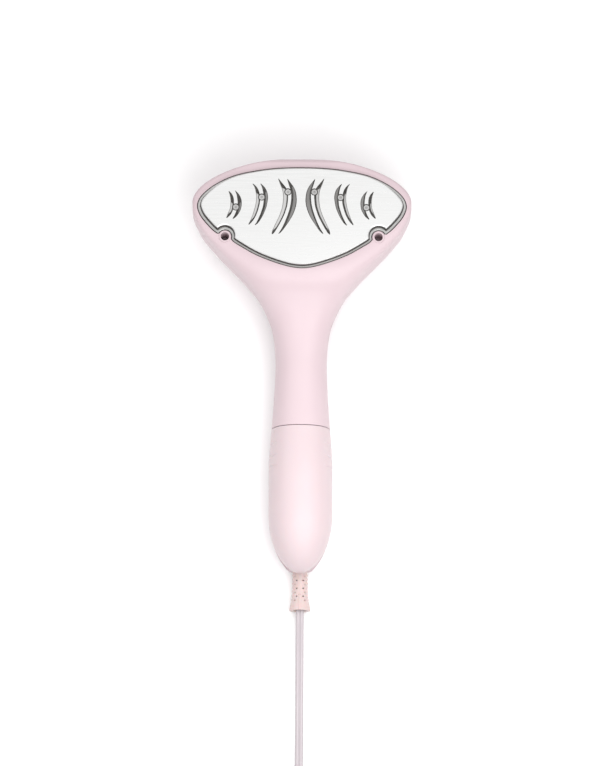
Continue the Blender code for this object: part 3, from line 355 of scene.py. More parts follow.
def add_block(bm, low, high):
    corners = [(low[0], low[1]), (high[0], low[1]), (high[0], high[1]), (low[0], high[1])]
    add_loft(bm, [[Vector((x, y, z)) for x, y in corners] for z in (low[2], high[2])])


def combine(obj, *steps):
    """Boolean steps, each (operation, bmesh), applied in order."""
    others = []
    for number, (operation, bm) in enumerate(steps):
        other = object_of(f"{obj.name}_step_{number}", bm)
        modifier = obj.modifiers.new(other.name, "BOOLEAN")
        modifier.operation, modifier.solver, modifier.object = operation, "EXACT", other
        others.append(other)
    graph = bpy.context.evaluated_depsgraph_get()
    made = bpy.data.meshes.new_from_object(obj.evaluated_get(graph), depsgraph=graph)
    obj.modifiers.clear()
    obj.data = made
    for other in others:
        bpy.data.objects.remove(other, do_unlink=True)
    shade(made)
    return obj


def piece(obj, body, slot, *nodes):
    """A finished piece of the object: what it rides on, its finish and the CAD nodes it stands for. Its
    finish, slot, is not used.
    """
    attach(obj, body)
    if nodes:
        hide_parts(*nodes)
    return obj


# ---------------------------------------------------------------- materials
# Nearly all of a noise texture's values are between these two.
NOISE_SPAN = (0.3, 0.7)
ALONG_X = (0.06, 1.0, 1.0)


class Nodes:
    """A material's node tree, built by naming what each node does."""

    def __init__(self, name, colour, roughness, metallic=0.0, **inputs):
        self.material = bpy.data.materials.new(name)
        self.material.use_nodes = True
        self.material.diffuse_color = (*colour, 1.0)
        self.tree = self.material.node_tree
        self.shader = self.tree.nodes["Principled BSDF"]
        values = {"Base Color": (*colour, 1.0), "Roughness": roughness, "Metallic": metallic}
        values.update({key.replace("_", " "): value for key, value in inputs.items()})
        for key, value in values.items():
            self.shader.inputs[key].default_value = value

    def put(self, value, socket):
        """Links a socket's output, or sets a plain value."""
        if isinstance(value, bpy.types.NodeSocket):
            self.tree.links.new(value, socket)
        else:
            socket.default_value = value

    def node(self, kind, inputs=None, **settings):
        made = self.tree.nodes.new(kind)
        for key, value in settings.items():
            setattr(made, key, value)
        for key, value in (inputs or {}).items():
            self.put(value, made.inputs[key])
        return made

    def place(self, stretch=(1.0, 1.0, 1.0)):
        """Coordinates fixed to the piece, stretched along each axis."""
        source = self.node("ShaderNodeTexCoord")
        inputs = {"Vector": source.outputs["Object"], "Scale": stretch}
        return self.node("ShaderNodeMapping", inputs).outputs[0]

    def noise(self, scale, detail=2.0, stretch=(1.0, 1.0, 1.0)):
        inputs = {"Vector": self.place(stretch), "Scale": scale, "Detail": detail}
        return self.node("ShaderNodeTexNoise", inputs).outputs["Fac"]

    def spread(self, noise, low, high):
        """A noise's values, spread out from low to high."""
        start, end = NOISE_SPAN
        inputs = {"Value": noise, "From Min": start, "From Max": end, "To Min": low, "To Max": high}
        return self.node("ShaderNodeMapRange", inputs).outputs["Result"]

    def mix(self, factor, first, second):
        """A colour between two colours. A mix node's colour sockets have numbers 6, 7 and, out, 2."""
        inputs = {0: factor, 6: (*first, 1.0), 7: (*second, 1.0)}
        return self.node("ShaderNodeMix", inputs, data_type="RGBA").outputs[2]

    def to(self, output, key):
        self.tree.links.new(output, self.shader.inputs[key])

    def bump(self, height, strength, distance, edge=0.0):
        """Surface relief, with this much rounding on the edges."""
        inputs = {"Height": height, "Strength": strength, "Distance": distance}
        if edge:
            inputs["Normal"] = self.node("ShaderNodeBevel", {"Radius": edge}, samples=4).outputs[0]
        self.to(self.node("ShaderNodeBump", inputs).outputs[0], "Normal")


def moulded(name, colour, other, roughness, grain=2600.0, edge=0.0, **inputs):
    """Moulded plastic: a faint mottle, a fine spark-eroded grain and uneven gloss."""
    m = Nodes(name, colour, roughness, **inputs)
    m.to(m.mix(m.spread(m.noise(38.0, 3.0), 0.0, 1.0), colour, other), "Base Color")
    m.to(m.spread(m.noise(420.0, 2.0), roughness - 0.05, roughness + 0.06), "Roughness")
    m.bump(m.noise(grain, 1.0), 0.12, 0.00006, edge)
    return m.material


def brushed(name, colour, dark, roughness, stretch):
    """Metal with fine lines left by brushing."""
    m = Nodes(name, colour, roughness, 1.0)
    lines = m.noise(900.0, 3.0, stretch)
    m.to(m.mix(m.spread(lines, 0.0, 1.0), dark, colour), "Base Color")
    m.to(m.spread(lines, roughness + 0.08, roughness - 0.06), "Roughness")
    m.bump(lines, 0.10, 0.00003)
    return m.material


PINK, PINK_DEEP = (0.595, 0.480, 0.508), (0.585, 0.465, 0.495)
MATERIALS = {
    "shell": moulded("shell_pink", PINK, PINK_DEEP, 0.42, edge=0.0003, Specular_IOR_Level=0.35),
    "tank": moulded("tank_pink", (0.600, 0.495, 0.515), (0.590, 0.480, 0.500), 0.38, edge=0.0002,
                    Specular_IOR_Level=0.40, Subsurface_Weight=0.06, Subsurface_Scale=0.003),
    "steel": brushed("plate_steel", (0.78, 0.78, 0.775), (0.70, 0.70, 0.695), 0.30, ALONG_X),
    "fastener": brushed("plated_steel", (0.62, 0.62, 0.63), (0.50, 0.50, 0.52), 0.32, (1.0, 1.0, 0.1)),
    "aluminium": brushed("cast_aluminium", (0.62, 0.63, 0.64), (0.52, 0.53, 0.54), 0.50,
                         (1.0, 1.0, 1.0)),
    "copper": brushed("copper_winding", (0.72, 0.42, 0.26), (0.60, 0.30, 0.18), 0.38, (1.0, 6.0, 1.0)),
    "silicone": moulded("silicone", (0.80, 0.78, 0.75), (0.74, 0.72, 0.69), 0.55,
                        Subsurface_Weight=0.1, Subsurface_Scale=0.002),
    "black_plastic": moulded("black_plastic", (0.035, 0.035, 0.037), (0.05, 0.05, 0.05), 0.50),
    "white_plastic": moulded("white_plastic", (0.80, 0.79, 0.76), (0.76, 0.75, 0.72), 0.45),
    "board": moulded("circuit_board", (0.04, 0.16, 0.08), (0.05, 0.20, 0.10), 0.35),
    "relief": moulded("relief_salmon", (0.58, 0.465, 0.45), (0.565, 0.44, 0.425), 0.42,
                      Subsurface_Weight=0.12, Subsurface_Scale=0.003),
    "cord": moulded("cord_vinyl", (0.47, 0.425, 0.445), (0.45, 0.40, 0.425), 0.20, grain=1500.0),
    "plug": moulded("plug_vinyl", (0.60, 0.52, 0.55), (0.58, 0.50, 0.53), 0.36),
    "tie": moulded("tie_vinyl", (0.62, 0.42, 0.41), (0.60, 0.39, 0.38), 0.45),
    "lens": moulded("lens", (0.92, 0.86, 0.80), (0.90, 0.84, 0.78), 0.12, Transmission_Weight=0.5),
}

# The steam plate's materials, in the order of its slots: the plain steel, then copies of it that paint in
# light and shade: a near-black painted shadow, a grey painted shade, a paler grey of painted light and
# shade, a painted shade on the flange and a darker painted shade on the flange's lower edge.
STEEL, PAINTED_SHADOW, SHADE, PAINTED_PALE_GREY, SHADED_FLANGE, LOWER_FLANGE_SHADE = range(6)
PLATE_MATERIALS = (
    MATERIALS["steel"],
    brushed("plate_steel_painted_shadow", (0.10, 0.095, 0.09), (0.05, 0.048, 0.045), 0.35, ALONG_X),
    moulded("plate_steel_shade", (0.24, 0.235, 0.23), (0.17, 0.165, 0.16), 0.45, Metallic=0.35),
    moulded("plate_steel_painted_pale", (0.50, 0.495, 0.49), (0.42, 0.415, 0.41), 0.45, Metallic=0.35),
    brushed("plate_steel_flange_painted_shade", (0.50, 0.495, 0.485), (0.42, 0.415, 0.405), 0.32, ALONG_X),
    moulded("plate_steel_edge", (0.40, 0.39, 0.38), (0.34, 0.33, 0.32), 0.40, Metallic=0.5),
)


def finish_cad_nodes():
    """Every CAD node takes the finish that the record gives it."""
    for part in frame["record"]["subparts"]:
        node = frame["nodes"].get(part["node"])
        if node:
            node.data.materials.clear()
            node.data.materials.append(MATERIALS[part["material_slot"]])


finish_cad_nodes()


# ---------------------------------------------------------------- mains lead
CORD_WIDTH, CORD_CORE_RADIUS, CORD_CORE_OFFSET = 0.0048, 0.00128, 0.00112
CORD_LOW_Z = CORD_CORE_RADIUS + 0.0001
COIL_CENTRE, COIL_OUTER_TURN, COIL_INNER_TURN = (-0.0290, 0.4150), 0.0339, 0.0231
COIL_ROWS, COIL_ROW_PITCH, COIL_FIRST_Z = 4, 0.0034, 0.0035
COIL_TURNS, COIL_DWELL = 9.25, 0.30
TAIL_RADIUS, TAIL_SHARE, TAIL_Z = 0.0399, 0.35, 0.0026
HELD_LEAD_RADIUS = 0.0015


def coil_points(per_turn=40):
    """The coil, wound clockwise from its right side: each row runs in or out, then rises at a dwell."""
    x, t = COIL_CENTRE
    row_turns = (COIL_TURNS - TAIL_SHARE - COIL_DWELL * (COIL_ROWS - 1)) / COIL_ROWS
    found = []
    steps = round(COIL_TURNS * per_turn)
    for i in range(1, steps + 1):
        turns = i / per_turn
        row = min(COIL_ROWS - 1, int(turns / (row_turns + COIL_DWELL)))
        into = turns - row * (row_turns + COIL_DWELL)
        # The run in or out is mostly steady, with a little easing at its ends.
        share = 0.25 * ease(into / row_turns) + 0.75 * min(1.0, into / row_turns)
        reach = (COIL_OUTER_TURN - COIL_INNER_TURN) * share
        radius = COIL_OUTER_TURN - reach if row % 2 == 0 else COIL_INNER_TURN + reach
        rise = ease((into - row_turns) / COIL_DWELL) if row < COIL_ROWS - 1 else 0.0
        z = COIL_FIRST_Z + COIL_ROW_PITCH * (row + rise)
        # The last share of a turn is the tail: it swings out, then sinks to the surface.
        last = (turns - (COIL_TURNS - TAIL_SHARE)) / TAIL_SHARE
        if last > 0:
            radius += (TAIL_RADIUS - radius) * ease(last / 0.7)
            z += (TAIL_Z - z) * ease((last - 0.35) / 0.65)
        angle = -2 * math.pi * turns
        found.append(Vector((x + radius * math.cos(angle), Y_TOP - t + radius * math.sin(angle), z)))
    return found


def lead_route():
    """From inside the strain relief, along the surface into the coil, then out to the plug."""
    x, t = COIL_CENTRE
    lie = CORD_LOW_Z
    out = [
        at(0, RELIEF_TO - 0.0080, LEAD_Z), at(0, RELIEF_TO, LEAD_Z), at(0, RELIEF_TO + 0.0060, 0.0069),
        at(0, RELIEF_TO + 0.0150, 0.0046), at(0, RELIEF_TO + 0.0260, 0.0024), at(0, RELIEF_TO + 0.0400, lie),
        at(0.0, 0.3400, lie), at(0.0, 0.3700, lie), at(0.0012, 0.3860, lie), at(0.0036, 0.4010, 0.0025),
        at(x + COIL_OUTER_TURN, t, COIL_FIRST_Z),
    ]
    tail_t = t + TAIL_RADIUS
    end = [
        at(x - 0.0040, tail_t, TAIL_Z), at(x - 0.0120, tail_t, 0.0040), at(x - 0.0185, tail_t, 0.0066),
        at(x - 0.0230, tail_t, 0.0075), at(x - 0.0275, tail_t, 0.0075),
    ]
    coil = coil_points()
    return [*spline(out, 8), *coil, *spline([coil[-1], *end], 5)[1:]]


def swept(route, profile):
    """One ring of the profile at each point of a route."""
    rings = []
    for i, point in enumerate(route):
        along = (route[min(i + 1, len(route) - 1)] - route[max(i - 1, 0)]).normalized()
        across = along.cross(Vector((0, 0, 1))).normalized()
        up = across.cross(along)
        rings.append([point + across * u + up * v for u, v in profile])
    return rings


def cord_profile(steps=14):
    """Two round cores side by side, each drawn as far as the valley between them."""
    valley = math.acos(-0.92 * CORD_CORE_OFFSET / CORD_CORE_RADIUS)
    profile = []
    for side in (1, -1):
        for i in range(steps + 1):
            angle = valley * (2 * i / steps - 1)
            profile.append((side * (CORD_CORE_OFFSET + CORD_CORE_RADIUS * math.cos(angle)),
                            side * CORD_CORE_RADIUS * math.sin(angle)))
    return profile


def add_cord():
    """The lead that shows, with its stored coil, out to its plug; the coil's strap and the plug itself are
    not made here.
    """
    route = lead_route()
    bm = bmesh.new()
    add_loft(bm, swept(route, cord_profile()))
    cord = object_of("mains_cord", bm, MATERIALS["cord"], ROUND_SHARP_ANGLE)
    piece(cord, BODY, "cord", "power_cord", "cord_coil", "cord_tail")


def add_held_lead():
    """The lead inside the handle, starting behind the space that the power button moves in."""
    route = spline([
        at(0, 0.1492, 0.0150), at(0, 0.1526, 0.0130), at(0, 0.1572, 0.0106), at(0, 0.1640, 0.0085),
        at(0, 0.1760, LEAD_Z), at(0, 0.2000, LEAD_Z * 0.9), at(0, CLAMP_AT, LEAD_Z),
        at(0, 0.2385, LEAD_Z),
    ], 8)
    radius = HELD_LEAD_RADIUS
    profile = [(radius * math.cos(w), radius * math.sin(w)) for w in round_turn(24)]
    bm = bmesh.new()
    add_loft(bm, swept(route, profile))
    piece(object_of("held_lead", bm, MATERIALS["cord"]), BODY, "cord", "mains_lead")


add_cord()
add_held_lead()


# ---------------------------------------------------------------- form of the body
# How steeply the skin may lean where the wall's thickness is measured across it, and how far the
# lining stays behind the skin at the top of the head.
STEEPEST = 5.0
LINING_LAG, LINING_LAG_LENGTH = 0.0032, 0.0200
SHELL_COLUMNS = 80


def nose_share(t):
    """1 along the body, falling to 0 round the tank's end, a little more pointed than an ellipse."""
    u = (t - (TANK_END - TANK_NOSE_LENGTH)) / TANK_NOSE_LENGTH
    return max(0.0, 1 - u * u) ** TANK_NOSE_POWER if u > 0 else 1.0


def half_width(t):
    if t < HEAD_TOP_LENGTH:
        p, q = HEAD_TOP_SQUARENESS
        lead = max(0.0, (t + HEAD_TOP_LEAD) / (HEAD_TOP_LENGTH + HEAD_TOP_LEAD))
        return HEAD_HALF_WIDTH * (1 - (1 - lead) ** p) ** (1 / q)
    return smooth(HALF_WIDTH, t) * nose_share(t)


def front_z(t):
    if t < FRONT_Z[0][0]:
        u = min(1.0, 1 - t / FRONT_Z[0][0])
        return HEAD_TOP_FRONT_Z + (HEAD_HEIGHT - HEAD_TOP_FRONT_Z) * math.sqrt(1 - u * u)
    return NOSE_Z + (smooth(FRONT_Z, t) - NOSE_Z) * nose_share(t)


def back_z(t):
    if t < HEAD_BACK_LENGTH:
        u = min(1.0, 1 - t / HEAD_BACK_LENGTH)
        return HEAD_TOP_BACK_Z - (HEAD_TOP_BACK_Z - BACK_Z[0][1]) * math.sqrt(1 - u * u)
    return smooth(BACK_Z, t)


def tank_back_z(t):
    return NOSE_Z + (smooth(BACK_Z, t) - NOSE_Z) * nose_share(t)


def quarter(t, inset, front, count, reach_of=back_z):
    """A quarter of the body's section: (x, z) from its widest point to its middle line.

    reach_of gives where a back quarter ends on the middle line."""

    def drawn_in(value, sign):
        if not inset:
            return value(t)
        step = 0.0002
        slope = (value(t + step) - value(t - step)) / (2 * step)
        return value(t) - sign * inset * math.sqrt(1 + min(slope * slope, STEEPEST ** 2))

    a = drawn_in(half_width, 1)
    middle = smooth(WIDEST_Z, t)
    end = drawn_in(front_z, 1) if front else drawn_in(reach_of, -1)
    power = 2 / smooth(FRONT_SQUARENESS if front else BACK_SQUARENESS, t)
    line = []
    steps = 72
    for i in range(steps + 1):
        angle = math.pi / 2 * i / steps
        x = a * math.cos(angle) ** power if i < steps else 0.0
        z = middle + (end - middle) * math.sin(angle) ** power
        line.append(Vector((x, max(z, inset))))
    return evenly(line, count)


def head_stations():
    """Stations round the top of the head, evenly spread over its width."""
    p, q = HEAD_TOP_SQUARENESS
    found = []
    steps = 30
    for k in range(steps):
        share = math.sin(math.pi / 2 * k / steps) ** q
        found.append((HEAD_TOP_LENGTH + HEAD_TOP_LEAD) * (1 - (1 - share) ** (1 / p)) - HEAD_TOP_LEAD)
    return found


def mirrored(line):
    """A right-hand line continued down the left-hand side."""
    return [*line, *[Vector((-p[0], p[1])) for p in reversed(line[:-1])]]


def half_shell(name, stations, front, capped_end):
    """A shell with an outer and an inner skin and a rim, open towards the other shell."""

    def skin_row(t, inset):
        line = quarter(t, inset, front, SHELL_COLUMNS)
        line[0].y += HALF_GAP if front else -HALF_GAP
        return [at(p.x, t, p.y) for p in mirrored(line)]

    outer, inner = [], []
    for t in stations:
        outer.append(skin_row(t, 0.0))
        deep = t + LINING_LAG * max(0.0, 1 - max(t, 0.0) / LINING_LAG_LENGTH)
        if capped_end:
            deep = min(deep, stations[-1] - SHELL_WALL)
        inner.append(skin_row(deep, SHELL_WALL))
    if capped_end:
        keep = [k for k, t in enumerate(stations) if t < stations[-1] - SHELL_WALL]
        inner = [inner[k] for k in keep] + [inner[-1]] * (len(stations) - len(keep))
    bm = bmesh.new()
    skin = add_loft(bm, outer, False, (False, capped_end))
    lining = add_loft(bm, inner[:keep[-1] + 2] if capped_end else inner, False, (True, capped_end))
    rows = min(len(skin), len(lining))
    for edge in (0, -1):
        for k in range(rows - 1):
            bm.faces.new((skin[k][edge], skin[k + 1][edge], lining[k + 1][edge], lining[k][edge]))
        if capped_end:
            rest = [row[edge] for row in skin[rows - 1:]]
            if len(rest) > 1:
                bm.faces.new([lining[-1][edge], *rest])
    bm.faces.new((skin[0][0], lining[0][0], lining[0][-1]))
    if capped_end:
        bm.faces.new((skin[-1][0], lining[-1][0], lining[-1][-1], skin[-1][-1]))
    else:
        for j in range(len(skin[-1]) - 1):
            bm.faces.new((skin[-1][j], skin[-1][j + 1], lining[-1][j + 1], lining[-1][j]))
    return object_of(name, bm, MATERIALS["shell"])


# ---------------------------------------------------------------- outline of the steam plate
UPPER_POINTS, NOTCH_POINTS, LOWER_POINTS = 72, 26, 48


def plate_edges():
    """The right half of the plate's edge as three smooth lines: upper edge, notch, lower edge."""
    notch = []
    steps = 24
    for i in range(steps + 1):
        angle = NOTCH_FROM + (NOTCH_TO - NOTCH_FROM) * i / steps
        reach = NOTCH_RADIUS * Vector((math.cos(angle), math.sin(angle)))
        notch.append(Vector((BOSS_X, BOSS_AT)) + reach)
    before = (-PLATE_UPPER_EDGE[1][0], PLATE_UPPER_EDGE[1][1])
    after = (-PLATE_LOWER_EDGE[-2][0], PLATE_LOWER_EDGE[-2][1])
    upper = spline([before, *PLATE_UPPER_EDGE], 10)[10:]
    lower = spline([notch[-1], *PLATE_LOWER_EDGE, after], 10)[:-10]
    return upper, notch, lower


def drawn_inwards(line, inset):
    found = []
    for i, p in enumerate(line):
        along = (line[min(i + 1, len(line) - 1)] - line[max(i - 1, 0)]).normalized()
        share = smooth(FLANGE_SHARE, p.y) if inset > 0 else 1.0
        found.append(p + share * inset * Vector((-along.y, along.x)))
    return found


def trimmed(first, second):
    """Two lines cut back to where they cross."""
    for i in range(len(first) - 2, -1, -1):
        for j in range(len(second) - 1):
            point = intersect_line_line_2d(first[i], first[i + 1], second[j], second[j + 1])
            if point:
                return [*first[:i + 1], point], [point, *second[j + 1:]]
    return first, second


def plate_ring(inset, z):
    """The whole edge of the plate, drawn in by inset at its sides and by less elsewhere, at height z."""
    upper, notch, lower = [drawn_inwards(line, inset) for line in plate_edges()]
    upper[0].x = lower[-1].x = 0.0
    upper, notch = trimmed(upper, notch)
    notch, lower = trimmed(notch, lower)
    half = [*evenly(upper, UPPER_POINTS), *evenly(notch, NOTCH_POINTS)]
    half += evenly(lower, LOWER_POINTS)[:-1]
    left = [Vector((-p.x, p.y)) for p in reversed(half[1:])]
    return [at(p.x, p.y, z) for p in (*half, lower[-1], *left)]


# ---------------------------------------------------------------- shells
def add_front_shell():
    stations = head_stations() + spaced(HEAD_TOP_LENGTH, SEAM, 0.0014)
    shell = half_shell("front_cover", stations, True, False)
    aperture, posts, holes = bmesh.new(), bmesh.new(), bmesh.new()
    add_loft(aperture, [plate_ring(-APERTURE_GAP, z) for z in (APERTURE_LOW_Z, APERTURE_TOP_Z)])
    for side in (-1, 1):
        x = side * BOSS_X
        add_upright(posts, x, BOSS_AT, HEAD_FRONT_POST_Z, HEAD_HEIGHT + 0.0002, BOSS_RADIUS)
        add_upright(holes, x, BOSS_AT, BOSS_HOLE_FLOOR_Z, BOSS_HOLE_TOP_Z, BOSS_HOLE_RADIUS)
        add_upright(holes, x, BOSS_AT, 0.0200, FRONT_PILOT_TOP_Z, HEAD_PILOT_RADIUS, 24)
        x = side * NECK_SCREW_X
        add_upright(posts, x, NECK_SCREW_AT, NECK_FRONT_POST_Z, NECK_POST_TOP_Z, NECK_POST_RADIUS, 32)
        add_upright(holes, x, NECK_SCREW_AT, 0.0220, FRONT_PILOT_TOP_Z, NECK_PILOT_RADIUS, 24)
    combine(shell, ("DIFFERENCE", aperture), ("UNION", posts), ("DIFFERENCE", holes))
    piece(shell, BODY, "shell", "front_shell")


def inner_ring(t):
    """A closed section of the body, drawn in by half the wall."""
    front = mirrored(quarter(t, SHELL_WALL / 2, True, 24))
    back = mirrored(quarter(t, SHELL_WALL / 2, False, 24))
    return [at(p[0], t, p[1]) for p in (*front, *reversed(back[1:-1]))]


def rear_posts():
    """The posts for the screws, cut off where they would come out of the shell."""
    posts, limit = bmesh.new(), bmesh.new()
    for side in (-1, 1):
        x = side * BOSS_X
        add_upright(posts, x, BOSS_AT, 0.0, HEAD_REAR_POST_Z, HEAD_POST_RADIUS)
        x = side * NECK_SCREW_X
        add_upright(posts, x, NECK_SCREW_AT, 0.0, NECK_REAR_POST_Z, NECK_POST_RADIUS, 32)
        x = side * CLAMP_SCREW_X
        add_upright(posts, x, CLAMP_AT, 0.0012, 0.0090, CLAMP_POST_RADIUS, 24)
    add_loft(limit, [inner_ring(t) for t in spaced(0.0400, 0.2400, 0.0020)])
    kept = combine(object_of("rear_posts", posts), ("INTERSECT", limit))
    posts = bmesh.new()
    posts.from_mesh(kept.data)
    bpy.data.objects.remove(kept, do_unlink=True)
    return posts


def add_rear_shell():
    fine_from = 0.2320
    stations = spaced(HEAD_TOP_LENGTH, fine_from, 0.0016) + spaced(fine_from, SPINE_END, 0.0004)[1:]
    shell = half_shell("rear_cover", head_stations() + stations, False, True)
    opening, holes, pilots = bmesh.new(), bmesh.new(), bmesh.new()
    # The opening reaches past the spine on both sides, at its end and above.
    add_block(opening, (-0.03, Y_TOP - 0.2600, SPINE_TOP_Z), (0.03, Y_TOP - SEAM, 0.0500))
    for side in (-1, 1):
        x = side * BOSS_X
        add_upright(holes, x, BOSS_AT, -0.0010, HEAD_WELL_TOP_Z, HEAD_WELL_RADIUS)
        add_upright(pilots, x, BOSS_AT, 0.0100, 0.0300, HEAD_PILOT_RADIUS, 24)
        x = side * NECK_SCREW_X
        add_upright(holes, x, NECK_SCREW_AT, 0.0, NECK_WELL_TOP_Z, NECK_WELL_RADIUS, 32)
        add_upright(pilots, x, NECK_SCREW_AT, 0.0100, 0.0300, NECK_PILOT_RADIUS, 24)
        x = side * CLAMP_SCREW_X
        add_upright(pilots, x, CLAMP_AT, 0.0045, 0.0120, CLAMP_PILOT_RADIUS, 24)
    add_loft(holes, [oblong_ring(STEAM_BUTTON_AT, STEAM_BUTTON_STRAIGHT, BUTTON_HOLE_RADIUS, z)
                     for z in (0.0, BACK_HOLE_TOP_Z)])
    add_upright(holes, 0, POWER_BUTTON_AT, 0.0, BACK_HOLE_TOP_Z, BUTTON_HOLE_RADIUS)
    add_upright(holes, 0, LENS_AT, 0.0, BACK_HOLE_TOP_Z, LENS_HOLE_RADIUS, 24)
    add_rod(holes, at(0, 0.2380, LEAD_Z), at(0, 0.2500, LEAD_Z), RELIEF_HOLE_RADIUS)
    combine(shell, ("DIFFERENCE", opening), ("UNION", rear_posts()), ("DIFFERENCE", holes),
            ("DIFFERENCE", pilots))
    piece(shell, BODY, "shell", "rear_shell")


def oblong_ring(t, half_straight, radius, z, steps=24):
    ring = []
    for end, start in ((-1, 0.0), (1, math.pi)):
        for i in range(steps + 1):
            angle = start + math.pi * i / steps
            along = end * half_straight - radius * math.sin(angle)
            ring.append(at(radius * math.cos(angle), t + along, z))
    return ring


# ---------------------------------------------------------------- steam plate
PLATE_PROFILE = (
    (0.0040, 0.0585), (0.0034, 0.0582), (0.0028, 0.0558), (0.0026, 0.0552), (0.0, 0.0552), (0.0, 0.0566),
    (0.0001, 0.0570), (0.0004, 0.0572), (0.0014, 0.0572), (0.0015, 0.0573), (0.0016, 0.0578),
    (0.0019, 0.0590), (0.0021, 0.0595), (0.0024, 0.0598), (0.0028, FACE_Z),
)
FLANGE_ROWS, WALL_ROWS = (4, 5, 6, 7), (8, 9, 10, 11)
GROOVE_DEPTH, GROOVE_END_DEPTH, GROOVE_SLOPE = 0.0010, 0.0005, 0.3
# The floor beside each rib carries a painted shadow: at most this share of the recess wide, and wide or
# narrow by the side of the rib it lies on.
SHADOW_FLOOR_MOST_SHARE = 0.80
WIDE_SHADOW_FLOOR, NARROW_SHADOW_FLOOR = 0.0011, 0.0007
CRESCENT_LEFT_SHIFT = 0.0010
POCKET_RADIUS, POCKET_DEPTH, STEAM_HOLE_RADIUS = 0.0022, 0.0009, 0.0007
ABOVE_FACE = 0.0010
NOZZLE_PROFILE = (
    (0.00060, -0.0009), (0.00165, -0.0009), (0.00165, -0.0002), (0.00157, -0.0001), (0.00120, -0.0001),
    (0.00112, -0.00018), (0.00100, -0.00018), (0.00092, -0.0001), (0.00075, -0.0001), (0.00066, -0.0002),
    (0.00060, -0.0004), (0.00060, -0.0009),
)


def crescent_x(mirror, x):
    """X of a place on a crescent: CRESCENTS holds those on the right, and the left ones mirror them."""
    return x if mirror > 0 else -x - CRESCENT_LEFT_SHIFT


def add_recess(bm, rib, outline, mirror, shadow_floor, shaded_to, ramp, rim):
    """A recess between the rib's edge and an outline: a deep floor beside the rib that carries a painted
    shadow, a ramp and a rim, each with the painted shade or light given for it. Higher up than the place it
    is given, and near its lower tip, the painted shadow covers its whole width."""
    rings = []
    tip = rib[-1].y
    for inner, outer in zip(rib, outline):
        width = (outer - inner).length
        deep = min(GROOVE_DEPTH, GROOVE_END_DEPTH + GROOVE_SLOPE * width)
        share = min(SHADOW_FLOOR_MOST_SHARE, shadow_floor / max(width, 1e-5))
        shaded = max(ease((shaded_to - inner.y) / 0.0015), ease((inner.y - tip + 0.0050) / 0.0040))
        share += (SHADOW_FLOOR_MOST_SHARE - share) * shaded
        section = (
            (0.0, ABOVE_FACE), (0.0, -deep), (share, -deep), (share + 0.06, -0.60 * deep),
            (0.86, -0.30 * deep), (1.0, -0.20 * deep), (1.0, ABOVE_FACE),
        )
        ring = []
        for across, height in section:
            q = inner.lerp(outer, across)
            ring.append(at(crescent_x(mirror, q.x), q.y, FACE_Z + height))
        rings.append(ring)
    # Painted shadow on the rib's wall and the floor, painted shade where the floor rises, then the ramp's
    # and the rim's given painted light or shade, and plain steel above the face.
    painted_shading = (PAINTED_SHADOW, PAINTED_SHADOW, SHADE, ramp, rim, rim, STEEL)
    add_loft(bm, rings, finish=lambda row, i: painted_shading[i])


def join(obj, bm):
    """Adds the pieces in bm to an object's mesh, as they are."""
    settle(bm)
    bm.from_mesh(obj.data)
    bm.to_mesh(obj.data)
    bm.free()


def plate_blank():
    """The plate's raised face, wall and flange, without its recesses."""
    lower_from = UPPER_POINTS + NOTCH_POINTS
    lower_to = lower_from + 2 * LOWER_POINTS - 2

    # The plate's wall takes a painted shadow, and its flange a painted shade, with a darker painted shade
    # along its lower edge.
    def finish(row, i):
        if row in WALL_ROWS:
            return PAINTED_SHADOW
        if row in FLANGE_ROWS:
            return LOWER_FLANGE_SHADE if lower_from <= i < lower_to else SHADED_FLANGE
        return STEEL

    bm = bmesh.new()
    add_loft(bm, [plate_ring(inset, z) for inset, z in PLATE_PROFILE], finish=finish)
    plate = object_of("steam_plate_face", bm)
    for material in PLATE_MATERIALS:
        plate.data.materials.append(material)
    return plate


def add_steam_plate():
    plate = plate_blank()
    recesses, pockets, bores, nozzles = bmesh.new(), bmesh.new(), bmesh.new(), bmesh.new()
    for (x, t), *lines in CRESCENTS:
        bulge, rib_near, rib_far, hollow = [
            evenly(spline([(*p, 0) for p in line], 8), 40) for line in lines
        ]
        above_nozzle = t - 0.0020
        for mirror in (-1, 1):
            # The wide painted shadow lies to the right of the rib, the side the light leaves in shade, which
            # is the hollow side on the right half of the plate and the bulging side on the left half; above
            # the nozzle it covers the whole recess, except on the right half's bulging side.
            if mirror > 0:
                near_shadow_floor, far_shadow_floor = (NARROW_SHADOW_FLOOR, 0.0), (WIDE_SHADOW_FLOOR, above_nozzle)
            else:
                near_shadow_floor, far_shadow_floor = (WIDE_SHADOW_FLOOR, above_nozzle), (NARROW_SHADOW_FLOOR, above_nozzle)
            # The bulging side's ramp takes a painted shade and its rim a painted shadow; the hollow side's
            # ramp takes a paler grey of painted light, and its rim a painted shade.
            add_recess(recesses, rib_near, bulge, mirror, *near_shadow_floor, SHADE, PAINTED_SHADOW)
            add_recess(recesses, rib_far, hollow, mirror, *far_shadow_floor, PAINTED_PALE_GREY, SHADE)
            middle = crescent_x(mirror, x)
            add_upright(pockets, middle, t, FACE_Z - POCKET_DEPTH, FACE_Z + ABOVE_FACE, POCKET_RADIUS)
            add_upright(bores, middle, t, 0.0560, FACE_Z + ABOVE_FACE, STEAM_HOLE_RADIUS, 24)
            add_turned(nozzles, NOZZLE_PROFILE, at(middle, t, FACE_Z), Vector((0, 0, 1)), 40)
    # The nozzles' pockets and steam holes take a painted shadow, and the nozzle discs a grey copy of the
    # steel, a painted shade.
    for face in [*pockets.faces, *bores.faces]:
        face.material_index = PAINTED_SHADOW
    for face in nozzles.faces:
        face.material_index = PAINTED_PALE_GREY
    combine(plate, ("DIFFERENCE", recesses), ("DIFFERENCE", pockets), ("DIFFERENCE", bores))
    join(plate, nozzles)
    shade(plate.data, FINE_SHARP_ANGLE)
    piece(plate, BODY, "steel", "steam_plate")


